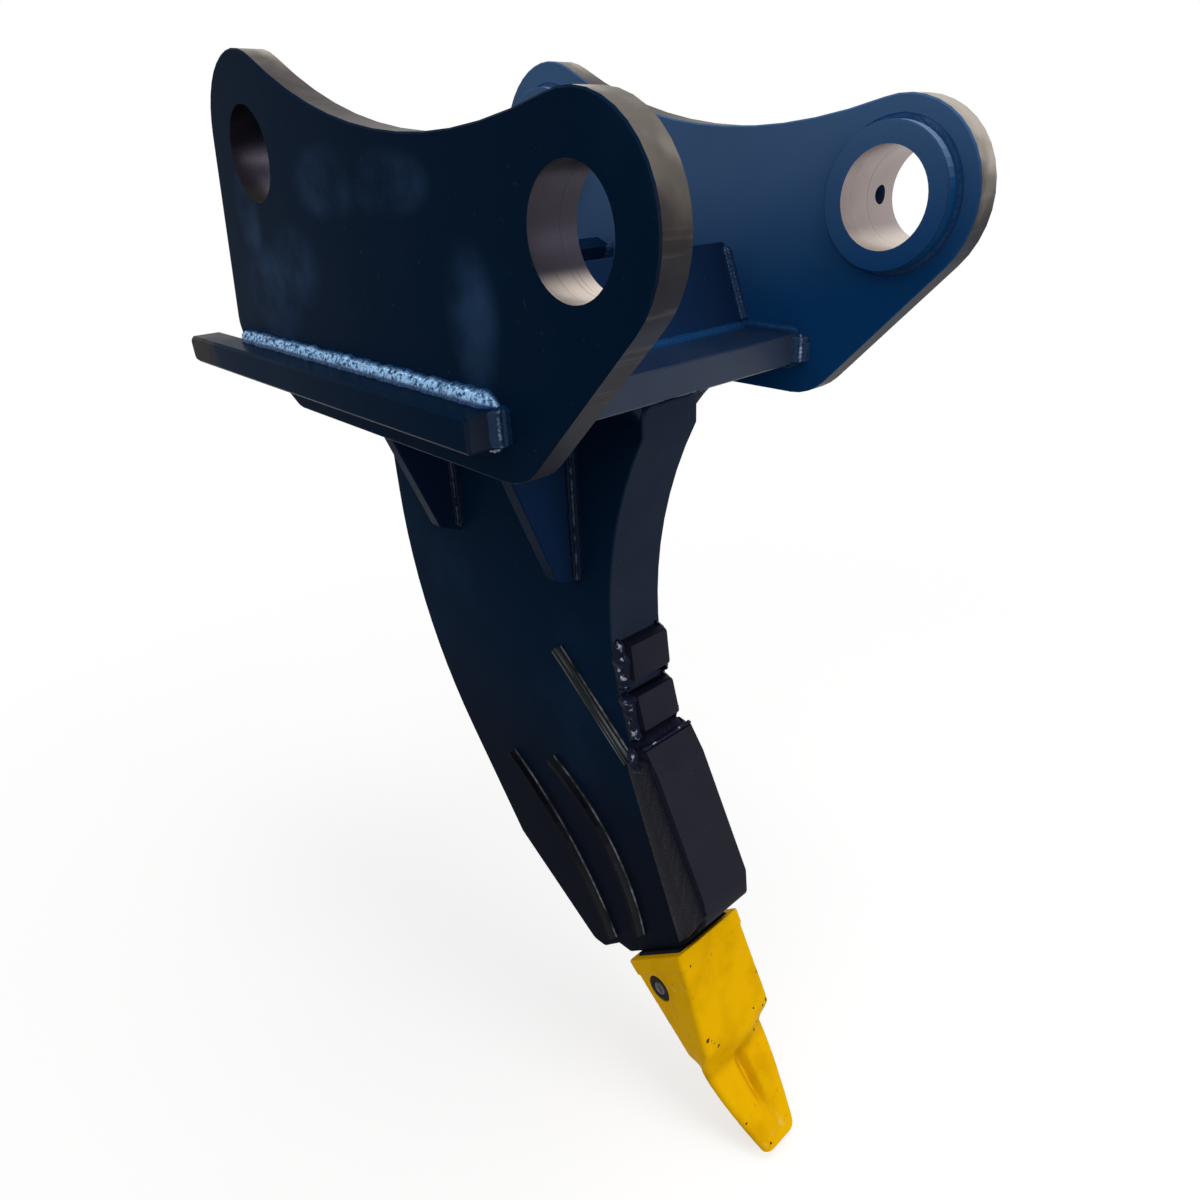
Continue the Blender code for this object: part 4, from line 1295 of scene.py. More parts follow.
@dataclass
class EarPair:
    """Both ears, with their bosses and the left ear's pin locking collars."""

    layout: Layout
    palette: Palette
    fillet: BeadStyle = BeadStyle(leg=0.005, crown=0.03, ripple=0.0, wander=0.04)

    def dress(self) -> None:
        """Put enamel, cut rims and bored walls on the ears and rings."""
        zone = PinZone(self.layout.pins, self.layout.bore_radius)
        ear = BoredPlate("ear_enamel", zone, bare_rim=True).build()
        ring = BoredPlate("boss_enamel", zone, bare_rim=False).build()
        for side in Side:
            dress_node(f"{side.label}_ear", ear)
            for place in ("front", "rear"):
                dress_node(f"{side.label}_{place}_boss", ring)
        for place in ("front", "rear"):
            dress_node(f"left_{place}_collar", ring)

    def lay_fillet(
        self, name: str, pin: Span, radius: float, y: float, out: float, seed: float
    ) -> None:
        """Lay the fillet that joins a ring to an ear, on a circle round the pin.

        Args:
            name: The bead's name.
            pin: The pin's place ahead and up.
            radius: The ring's outer radius.
            y: The ear's face.
            out: The sign of Y away from the ear.
            seed: A phase for the bead's waves.
        """
        angle = np.linspace(0.0, 2.0 * np.pi, 97)
        outward = np.stack([np.cos(angle), np.zeros_like(angle), np.sin(angle)], axis=-1)
        path = np.array([pin[0], y, pin[1]]) + outward * radius
        bead = WeldBead(name, path, outward, LEFT * out, self.fillet, seed, closed=True)
        bead.build(self.palette.fillet)

    def weld(self) -> None:
        """Lay a fillet round every boss and collar."""
        place = self.layout
        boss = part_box("left_front_boss")[1][2]
        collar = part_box("left_front_collar")[1][2]
        for order, (label, pin) in enumerate(zip(("front", "rear"), place.pins)):
            for side in Side:
                name, y = f"{side.label}_{label}_boss_weld", side.value * place.ear_inner
                self.lay_fillet(name, pin, boss, y, -side.value, order + side.value)
            name = f"left_{label}_collar_weld"
            self.lay_fillet(name, pin, collar, place.ear_outer, 1.0, 4.0 + order)

    def build(self) -> None:
        """Dress the solids and lay the beads."""
        self.dress()
        self.weld()


@dataclass
class BaseFrame:
    """The base plate, the side bars and the leaning cross plates."""

    layout: Layout
    palette: Palette
    bar_top: BeadStyle = BeadStyle(leg=0.0125, crown=0.30, pitch=0.0055, ripple=0.12, wander=0.16)
    bar_under: BeadStyle = BeadStyle(leg=0.008)
    bar_end: BeadStyle = BeadStyle(leg=0.0085, rise=2.0, passes=3, ripple=0.04, taper=0.4)
    plate_end: BeadStyle = BeadStyle(leg=0.014, passes=3, crown=0.16, ripple=0.03, taper=0.25)
    plate_long: BeadStyle = BeadStyle(leg=0.0075, ripple=0.03)
    cross_side: BeadStyle = BeadStyle(leg=0.0085, passes=2, ripple=0.04)
    cross_foot: BeadStyle = BeadStyle(leg=0.0065, crown=0.05, ripple=0.02)
    rear_inset: float = 0.016
    under_inset: float = 0.04
    front_inset: float = 0.004
    end_climb: float = 0.003
    top_inset: float = 0.004

    def dress(self) -> None:
        """Paint the plates and bars."""
        dress_node("base_plate", self.palette.plate)
        for side in Side:
            dress_node(f"{side.label}_side_bar", self.palette.navy)
        for place in ("front", "rear"):
            dress_node(f"{place}_cross_plate", self.palette.rib)

    def weld_bars(self) -> None:
        """Lay the beads between the bars and the ears' outer faces."""
        place = self.layout
        rear, front = place.ear_rear + self.rear_inset, place.plate_front - self.front_inset
        top, bottom, end = place.plate_top, place.plate_bottom, place.plate_front
        for side in Side:
            out = LEFT * side.value
            y = side.value * place.ear_outer
            WeldBead(
                f"{side.label}_bar_top_weld", line((rear, y, top), (front, y, top)),
                UP, out, self.bar_top, 7.0 + side.value,
            ).build(self.palette.bright)
            WeldBead(
                f"{side.label}_bar_under_weld",
                line((rear + self.under_inset, y, bottom), (front, y, bottom)),
                -UP, out, self.bar_under, 9.0 + side.value,
            ).build(self.palette.painted)
            WeldBead(
                f"{side.label}_bar_end_weld",
                line((end, y, bottom), (end, y, top + self.end_climb)),
                out, AHEAD, self.bar_end, 11.0 + side.value,
            ).build(self.palette.painted)

    def weld_plate(self) -> None:
        """Lay the beads between the base plate and the ears' inner faces."""
        place, palette = self.layout, self.palette
        top, bottom = place.plate_top, place.plate_bottom
        front, rear = place.plate_front, place.plate_rear
        for side in Side:
            y = side.value * place.ear_inner
            runs = (
                ("end", (front, y, bottom), (front, y, top), AHEAD, self.plate_end, palette.painted),
                ("tail", (rear, y, bottom), (rear, y, top), -AHEAD, self.plate_end, palette.painted),
                ("top", (rear, y, top), (front, y, top), UP, self.plate_long, palette.fillet),
                ("under", (rear, y, bottom), (front, y, bottom), -UP, self.plate_long, palette.fillet),
            )
            for order, (label, start, end, face, style, metal) in enumerate(runs):
                WeldBead(
                    f"{side.label}_plate_{label}_weld", line(start, end),
                    face, LEFT * -side.value, style, 13.0 + order + 5.0 * side.value,
                ).build(metal)

    def weld_cross_plate(self, label: str, foot: float, lean: float, order: int) -> None:
        """Lay the beads round one cross plate, up the ears and along the base plate.

        Args:
            label: Which cross plate it is.
            foot: Where its outer face meets the base plate.
            lean: The sign of X towards which it leans.
            order: Its number, which sets the beads' phase.
        """
        place = self.layout
        sine, cosine = math.sin(place.cross_lean), math.cos(place.cross_lean)
        climb = np.array([lean * sine, 0.0, cosine]) * (place.cross_length - self.top_inset)
        back = np.array([lean * cosine, 0.0, -sine])
        width = place.cross_thickness / cosine
        for face, x, away in (("outer", foot, -back), ("inner", foot + lean * width, back)):
            for side in Side:
                start = np.array([x, side.value * place.ear_inner, place.plate_top])
                WeldBead(
                    f"{side.label}_{label}_cross_{face}_weld", np.stack([start, start + climb]),
                    away, LEFT * -side.value, self.cross_side, order + 21.0 + side.value,
                ).build(self.palette.painted)
            right, left = (x, -place.ear_inner, place.plate_top), (x, place.ear_inner, place.plate_top)
            WeldBead(
                f"{label}_cross_{face}_foot_weld", line(right, left),
                AHEAD * math.copysign(1.0, away[0]), UP, self.cross_foot, order + 27.0,
            ).build(self.palette.fillet)

    def build(self) -> None:
        """Dress the solids and lay the beads."""
        self.dress()
        self.weld_bars()
        self.weld_plate()
        self.weld_cross_plate("front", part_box("front_cross_plate")[1][0], -1.0, 0)
        self.weld_cross_plate("rear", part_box("rear_cross_plate")[0][0], 1.0, 1)


@dataclass
class ShankBody:
    """The thick curved shank and its gussets."""

    layout: Layout
    palette: Palette
    top: BeadStyle = BeadStyle(crown=-0.20, ripple=0.01, wander=0.04, taper=0.2, pitch=0.007)
    legs: tuple[float, float, float] = (0.022, 0.026, 0.017)
    rises: tuple[float, float, float] = (1.2, 1.9, 1.0)
    gusset_root: BeadStyle = BeadStyle(leg=0.010, passes=3, ripple=0.05)
    gusset_top: BeadStyle = BeadStyle(ripple=0.05)
    end_inset: float = 0.004

    def dress(self) -> None:
        """Paint the shank and gussets."""
        dress_node("shank", self.palette.navy)
        for side in Side:
            for place in ("front", "rear"):
                dress_node(f"{side.label}_{place}_gusset", self.palette.rib)

    def weld_top(self) -> None:
        """Lay the large painted fillets between the shank's top and the base plate."""
        place = self.layout
        front, y, z = place.shank_front, place.shank_side, place.plate_bottom
        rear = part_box("shank")[0][0] + self.end_inset
        runs = {
            "right": (line((rear, -y, z), (front, -y, z)), -LEFT),
            "left": (line((rear, y, z), (front, y, z)), LEFT),
            "front": (line((front, -y, z), (front, y, z)), AHEAD),
        }
        for order, (label, (path, away)) in enumerate(runs.items()):
            style = replace(self.top, leg=self.legs[order], rise=self.rises[order])
            bead = WeldBead(f"shank_{label}_top_weld", path, away, -UP, style, 31.0 + order)
            bead.build(self.palette.navy)

    def weld_gusset(self, side: Side, label: str, order: int) -> None:
        """Lay the beads down a gusset's root and along its top, on both its faces.

        Args:
            side: The shank's side that it stands on.
            label: Which gusset it is.
            order: Its number, which sets the beads' phase.
        """
        level, root = self.layout.plate_bottom, side.value * self.layout.shank_side
        low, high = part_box(f"{side.label}_{label}_gusset")
        tip = max(abs(low[1]), abs(high[1])) * side.value
        name = f"{side.label}_{label}_gusset"
        for face, x, away in (("ahead", high[0], AHEAD), ("behind", low[0], -AHEAD)):
            WeldBead(
                f"{name}_{face}_weld", line((x, root, low[2] + self.end_inset), (x, root, level)),
                away, LEFT * side.value, self.gusset_root, 35.0 + order + side.value,
            ).build(self.palette.dark)
            WeldBead(
                f"{name}_{face}_top_weld", line((x, root, level), (x, tip, level)),
                away, -UP, self.gusset_top, 39.0 + order + side.value,
            ).build(self.palette.dark)

    def build(self) -> None:
        """Dress the solids and lay the beads."""
        self.dress()
        self.weld_top()
        for side in Side:
            self.weld_gusset(side, "front", 0)
            self.weld_gusset(side, "rear", 1)


@dataclass(frozen=True)
class StripRun:
    """A wear strip's middle line on the shank's side, as a chord with a rise."""

    start: np.ndarray
    end: np.ndarray
    rise: float
    width: float = 0.016

    def edge(self, side: float, y: float, count: int = 25) -> tuple[np.ndarray, np.ndarray]:
        """Follow one long edge of the strip.

        The middle line is start + t chord + 4 rise t (1 - t) square to the chord, and
        the edge lies half the width beside it.

        Args:
            side: 1 for the edge nearest the digging side, -1 for the other.
            y: The face that the strip lies on.
            count: How many places to return.

        Returns:
            Places, and the directions that point away from the strip.
        """
        t = np.linspace(0.0, 1.0, count)[:, None]
        chord = self.end - self.start
        length = np.linalg.norm(chord)
        normal = np.array([-chord[2], 0.0, chord[0]]) / length
        middle = self.start + chord * t + normal * (4.0 * self.rise * t * (1.0 - t))
        across = normal - chord / length * (4.0 * self.rise * (1.0 - 2.0 * t) / length)
        across = across / np.linalg.norm(across, axis=1, keepdims=True) * side
        places = middle + across * (self.width / 2)
        places[:, 1] = y
        return places, across


@dataclass
class WearArmour:
    """Wear blocks and shroud on the front edge, and wear strips on the sides.

    Attributes:
        layout: The shared places.
        palette: The shared materials.
        block: Rough beads beside the blocks.
        knot: Rough beads beside the shroud's top.
        shroud_top: The large bead across the shroud's top.
        shroud_crest: A thin bead on top of it.
        strip: Thin beads along the strips.
        block_ends: How far a block's beads reach past its top and bottom.
        knot_ends: Where the knots start and end, from the shroud's top.
        crest_drop: How far the thin bead lies under the shroud's face.
        band_widths: A band's width at its top and bottom.
        band_ends: How far the bands keep from the shroud's top and from the tooth.
        band_lift: How far they stand off the shank.
        band_fore: How far before the shank's edge each band ends, right and left.
        toe: Where the shroud ends, along and above in the tooth's frame.
    """

    layout: Layout
    palette: Palette
    block: BeadStyle = BeadStyle(
        leg=0.0088, rise=1.7, taper=0.7, crown=0.30, pitch=0.010, ripple=0.12, wander=0.42
    )
    knot: BeadStyle = BeadStyle(
        leg=0.0080, rise=1.4, taper=1.2, crown=0.30, pitch=0.007, ripple=0.12, wander=0.42
    )
    shroud_top: BeadStyle = BeadStyle(leg=0.019, crown=0.10, pitch=0.008, ripple=0.03)
    shroud_crest: BeadStyle = BeadStyle(leg=0.0030, crown=0.3, ripple=0.04, wander=0.5)
    strip: BeadStyle = BeadStyle(leg=0.0042, crown=0.25, pitch=0.012, ripple=0.02, wander=0.15)
    block_ends: Span = (0.003, 0.015)
    knot_ends: Span = (-0.004, 0.034)
    crest_drop: float = 0.0020
    band_widths: Span = (0.046, 0.074)
    band_ends: Span = (0.012, 0.0375)
    band_lift: float = 0.0004
    band_fore: Span = (0.030, 0.020)
    toe: Span = (-0.003, 0.049)
    strips: dict[str, StripRun] = field(init=False)

    def __post_init__(self) -> None:
        """Work out the strips' runs, from the sizes that their solids have."""
        self.strips = {
            "upper": self.upper_strip(0.169, math.radians(40.3), 0.018, 0.010),
            "middle": self.bowed_strip(0.030, 0.269, math.radians(4.1), 0.034),
            "lower": self.bowed_strip(0.109, 0.305, math.radians(0.2), 0.022),
        }

    def upper_strip(self, length: float, dip: float, overlap: float, inset: float) -> StripRun:
        """Return the straight strip's run, which ends beside the shroud's top.

        Args:
            length: Its length.
            dip: How far it dips, in radians.
            overlap: How far below the shroud's top it ends.
            inset: How far behind the shank's edge it ends.

        Returns:
            The run.
        """
        end = self.layout.front_edge(self.layout.shroud_top + overlap, -inset)[0][0]
        run = np.array([math.cos(dip), 0.0, -math.sin(dip)])
        return StripRun(end - run * length, end, 0.0)

    def bowed_strip(
        self, below: float, length: float, slant: float, rise: float, end_lift: float = 0.030
    ) -> StripRun:
        """Return a bowed strip's run, which ends above the tooth's mouth.

        Args:
            below: How far below the tooth's axis it ends.
            length: Its chord's length.
            slant: How much steeper than the tooth it lies, in radians.
            rise: How far it bows.
            end_lift: How far above the mouth it ends.

        Returns:
            The run.
        """
        end = self.layout.tooth_place(-end_lift, 0.0, -below)
        dip = self.layout.tooth_dip + slant
        run = np.array([math.cos(dip), 0.0, -math.sin(dip)])
        return StripRun(end - run * length, end, rise)

    def dress(self) -> None:
        """Paint the blocks, the shroud and the strips."""
        for node in ("upper_wear_block", "lower_wear_block", "front_shroud"):
            dress_node(node, self.palette.black)
        for side in Side:
            for place in self.strips:
                dress_node(f"{side.label}_{place}_strip", self.palette.strip)

    def weld_edge(self, name: str, ends: Span, y: float, style: BeadStyle, seed: float) -> None:
        """Lay a rough bead down the shank's front edge.

        Args:
            name: The bead's name.
            ends: Its start and end, down the edge from the waist.
            y: Its place across, whose sign is the side that it lies on.
            style: How it is laid.
            seed: A phase for its waves.
        """
        path, normals = self.layout.front_edge(np.linspace(*ends, 9), 0.0)
        path[:, 1] = y
        bead = WeldBead(name, path, normals, LEFT * math.copysign(1.0, y), style, seed)
        bead.build(self.palette.glint)

    def weld_blocks(self) -> None:
        """Lay the beads beside the blocks."""
        place = self.layout
        half = place.block_length / 2
        for order in range(2):
            middle = place.first_block_at + order * place.block_pitch
            ends = (middle - half - self.block_ends[0], middle + half + self.block_ends[1])
            for side in Side:
                name, y = f"{side.label}_block_{order}_weld", side.value * place.block_side
                self.weld_edge(name, ends, y, self.block, 47.0 + order + side.value)

    def weld_shroud(self) -> None:
        """Lay the beads across the shroud's top and the knots beside it."""
        place = self.layout
        top, normal = place.front_edge(place.shroud_top, 0.0)
        up = -np.cross(normal[0], LEFT)
        up = up if up[2] > 0 else -up
        path = np.stack([top[0] - LEFT * place.shroud_side, top[0] + LEFT * place.shroud_side])
        bead = WeldBead("shroud_top_weld", path, normal[0], up, self.shroud_top, 52.0)
        bead.build(self.palette.black)
        lift = normal[0] * (place.shroud_top_thickness - self.crest_drop)
        bead = WeldBead("shroud_crest_weld", path + lift, normal[0], up, self.shroud_crest, 53.0)
        bead.build(self.palette.glint)
        ends = (place.shroud_top + self.knot_ends[0], place.shroud_top + self.knot_ends[1])
        for side in Side:
            name, y = f"{side.label}_shroud_knot_weld", side.value * place.shroud_side
            self.weld_edge(name, ends, y, self.knot, 57.0 + side.value)

    def lay_bands(self) -> None:
        """Lay the rough bands of weld down the shroud's sides."""
        place = self.layout
        toe = place.tooth_place(self.toe[0], 0.0, self.toe[1])
        reach = np.linalg.norm(toe - place.front_edge(place.shroud_top, 0.0)[0][0])
        start = place.shroud_top + self.band_ends[0]
        distances = np.linspace(start, place.shroud_top + reach - self.band_ends[1], 20)
        widths = np.linspace(*self.band_widths, 20)
        for side, fore in zip(Side, self.band_fore):
            path, normals = place.front_edge(distances, fore - widths / 2)
            path[:, 1] = side.value * (place.shank_side + self.band_lift)
            WeldBand(
                f"{side.label}_shroud_band", path, LEFT * side.value, normals,
                *self.band_widths, seed=55.0 + side.value,
            ).build(self.palette.grey)

    def weld_strips(self) -> None:
        """Lay a thin bead along both edges of every strip."""
        for side in Side:
            y = side.value * self.layout.shank_side
            for order, (label, run) in enumerate(self.strips.items()):
                for name, edge in (("fore", 1.0), ("aft", -1.0)):
                    path, away = run.edge(edge, y)
                    WeldBead(
                        f"{side.label}_{label}_strip_{name}_weld", path, away,
                        LEFT * side.value, self.strip, 61.0 + order + side.value + edge,
                    ).build(self.palette.thin)

    def build(self) -> None:
        """Dress the solids and lay the beads."""
        self.dress()
        self.weld_blocks()
        self.weld_shroud()
        self.lay_bands()
        self.weld_strips()


@dataclass(frozen=True)
class ToothShape:
    """Lengths of the cast tooth, in the frame of its mouth and axis."""

    length: float = 0.307
    mouth_front: float = 0.0620
    mouth_rear: float = 0.0680
    mouth_half_width: float = 0.0575
    rim_length: float = 0.0205
    rim_lip: float = 0.0015
    box_length: float = 0.137
    box_end_front: float = 0.012
    box_end_rear: float = 0.052
    box_end_half_width: float = 0.0655
    box_rear_half_width: float = 0.0595
    shoulder_run: float = 0.033
    shoulder_bow: float = 0.012
    blade_front: float = -0.024
    blade_half_width: float = 0.0585
    blade_rear: float = -0.0525
    blade_rear_narrowing: float = 0.0075
    tip_front: float = -0.035
    tip_half_width: float = 0.030
    tip_radius: float = 0.010
    mouth_corner: float = 0.006
    front_corner: float = 0.009
    rear_corner: float = 0.012
    taper_power: float = 1.4
    groove_depth: float = 0.0115
    groove_half_width: float = 0.017
    groove_end_half_width: float = 0.007
    groove_start: float = 0.006
    groove_length: float = 0.112
    groove_fade_in: float = 0.22
    groove_fade_out: float = 0.5
    lip_radius: float = 0.0025
    tip_edge: float = 0.0030
    nose_length: float = 0.125
    nose_front: float = 0.052
    nose_rear: float = 0.058
    nose_half_width: float = 0.047
    nose_tip_front: float = -0.004
    nose_tip_rear: float = 0.040
    nose_tip_half_width: float = 0.034
    nose_clearance: float = 0.0006
    socket_corner: float = 0.002
    lock_along: float = 0.043
    lock_below: float = 0.026
    pin_radius: float = 0.010
    ring_wall: float = 0.0085
    ring_width: float = 0.006
    ring_depth: float = 0.0015
    seam: float = 0.0003

    def half_section(self, sizes: dict[str, np.ndarray]) -> tuple[np.ndarray, np.ndarray]:
        """Return half an outline for every row, from the rear's middle to the front's.

        It runs along the rear, round its corner, up the side, round the front corner,
        up the crown's smooth step and down into the groove's.

        Args:
            sizes: One column for each of rear_width, width, rear, front, crown, rear_corner,
                front_corner, groove_width and groove_depth.

        Returns:
            Places across and above the axis, with a row for each row of sizes.
        """
        turn = np.linspace(0.0, np.pi / 2, 9)[None, :]
        long_share = np.linspace(0.0, 1.0, 15)[None, 1:-1]
        short_share = np.linspace(0.0, 1.0, 11)[None, :-1]
        rear_centre = sizes["rear_width"] - sizes["rear_corner"]
        front_centre = sizes["width"] - sizes["front_corner"]
        low = sizes["rear"] + sizes["rear_corner"]
        high = sizes["front"] - sizes["front_corner"]
        crowned = sizes["front"] + sizes["crown"]
        across = [
            rear_centre * short_share,
            rear_centre + sizes["rear_corner"] * np.sin(turn),
            blend(sizes["rear_width"], sizes["width"], long_share),
            front_centre + sizes["front_corner"] * np.cos(turn),
            blend(front_centre, sizes["groove_width"], long_share),
            sizes["groove_width"] * (1.0 - short_share),
        ]
        above = [
            sizes["rear"] + 0.0 * short_share,
            low - sizes["rear_corner"] * np.cos(turn),
            blend(low, high, long_share),
            high + sizes["front_corner"] * np.sin(turn),
            sizes["front"] + sizes["crown"] * smooth(long_share),
            crowned - sizes["groove_depth"] * smooth(short_share),
        ]
        middle = crowned - sizes["groove_depth"]
        across = np.concatenate([*across, np.zeros_like(middle)], axis=1)
        above = np.concatenate([*above, middle], axis=1)
        return across, above

    def outside(self, along: np.ndarray, inset: np.ndarray) -> tuple[np.ndarray, np.ndarray]:
        """Return half outlines of the outside.

        The box's front falls evenly to the shoulder, which drops by a smooth step, at
        the corners first and in the middle last. The blade narrows by a power of its
        share, and its plan is a quarter circle at the tip.

        Args:
            along: Distances along the axis.
            inset: How far each outline is drawn in.

        Returns:
            Places across and above the axis.
        """
        along, inset = along[:, None], inset[:, None]
        box = along / self.box_length
        corner_drop = smooth((along - self.box_length) / self.shoulder_run)
        middle_drop = smooth((along - self.box_length - self.shoulder_bow) / self.shoulder_run)
        start = self.box_length + self.shoulder_run
        blade = np.maximum((along - start) / (self.length - start), 0.0)
        lip = self.rim_lip * (1.0 - smooth((along - self.rim_length) / (2.0 * self.rim_lip)))
        box_front = blend(self.mouth_front, self.box_end_front, box)
        blade_front = blend(self.blade_front, self.tip_front, blade)
        front = blend(box_front, blade_front, corner_drop) + lip
        crown = blend(box_front, blade_front, middle_drop) + lip - front
        box_rear = blend(-self.mouth_rear, -self.box_end_rear, box)
        rear = blend(box_rear, self.blade_rear, corner_drop) - lip
        tip = np.clip((along - self.length) / self.tip_radius + 1.0, 0.0, 1.0)
        rounding = self.tip_radius * (1.0 - np.sqrt(1.0 - tip ** 2))
        blade_width = blend(self.blade_half_width, self.tip_half_width, blade ** self.taper_power)
        box_width = blend(self.mouth_half_width, self.box_end_half_width, box)
        width = blend(box_width, blade_width, corner_drop) + lip - rounding
        box_rear_width = blend(self.mouth_half_width, self.box_rear_half_width, box)
        rear_width = blend(box_rear_width, blade_width - self.blade_rear_narrowing, corner_drop)
        rear_width = rear_width + lip - rounding
        groove = np.clip((along - start + self.groove_start) / self.groove_length, 0.0, 1.0)
        depth = self.groove_depth * smooth(groove / self.groove_fade_in)
        depth = depth * smooth((1.0 - groove) / self.groove_fade_out)
        third = (front - rear) / 3.0
        share = np.clip(box, 0.0, 1.0)
        corners = {
            "rear_corner": blend(self.mouth_corner, self.rear_corner, share),
            "front_corner": blend(self.mouth_corner, self.front_corner, share),
        }
        corners = {name: np.minimum(size, third) - 0.3 * inset for name, size in corners.items()}
        return self.half_section({
            "rear_width": rear_width - inset, "width": width - inset,
            "rear": rear + inset, "front": front - inset, "crown": crown, **corners,
            "groove_width": blend(self.groove_half_width, self.groove_end_half_width, groove),
            "groove_depth": depth,
        })

    def socket(self, along: np.ndarray) -> tuple[np.ndarray, np.ndarray]:
        """Return half outlines of the socket, a straight taper that clears the nose.

        Args:
            along: Distances along the axis.

        Returns:
            Places across and above the axis.
        """
        share = along[:, None] / self.nose_length
        spare = self.nose_clearance
        width = blend(self.nose_half_width, self.nose_tip_half_width, share) + spare
        flat = np.zeros_like(width)
        return self.half_section({
            "rear_width": width, "width": width,
            "rear": -blend(self.nose_rear, self.nose_tip_rear, share) - spare,
            "front": blend(self.nose_front, self.nose_tip_front, share) + spare,
            "crown": flat, "groove_depth": flat,
            "rear_corner": flat + self.socket_corner, "front_corner": flat + self.socket_corner,
            "groove_width": flat + self.groove_half_width,
        })

    def side_at_pin(self) -> float:
        """Return the tooth's half width where the pin goes through."""
        share = self.lock_along / self.box_length
        return float(blend(self.mouth_half_width, self.box_end_half_width, share))


@dataclass(frozen=True)
class Nick:
    """A chip knocked out of the casting's front, by its place along and across."""

    along: float
    across: float
    size: float
    depth: float


NICKS = (
    Nick(0.0212, -0.0450, 0.0022, 0.0008),
    Nick(0.1190, -0.0560, 0.0036, 0.0014),
    Nick(0.0600, -0.0570, 0.0016, 0.0006),
    Nick(0.0930, 0.0580, 0.0018, 0.0007),
    Nick(0.1365, -0.0420, 0.0022, 0.0009),
    Nick(0.1360, 0.0600, 0.0034, 0.0015),
    Nick(0.1320, 0.0330, 0.0024, 0.0009),
    Nick(0.1240, -0.0500, 0.0016, 0.0006),
    Nick(0.1300, -0.0475, 0.0014, 0.0005),
    Nick(0.1290, 0.0520, 0.0018, 0.0007),
    Nick(0.1400, 0.0510, 0.0020, 0.0008),
    Nick(0.1460, 0.0560, 0.0017, 0.0006),
    Nick(0.1520, 0.0420, 0.0015, 0.0005),
    Nick(0.1630, 0.0470, 0.0018, 0.0006),
    Nick(0.1690, 0.0385, 0.0024, 0.0008),
    Nick(0.1897, 0.0355, 0.0022, 0.0009),
    Nick(0.2542, -0.0393, 0.0026, 0.0009),
    Nick(0.2976, -0.0195, 0.0020, 0.0007),
)


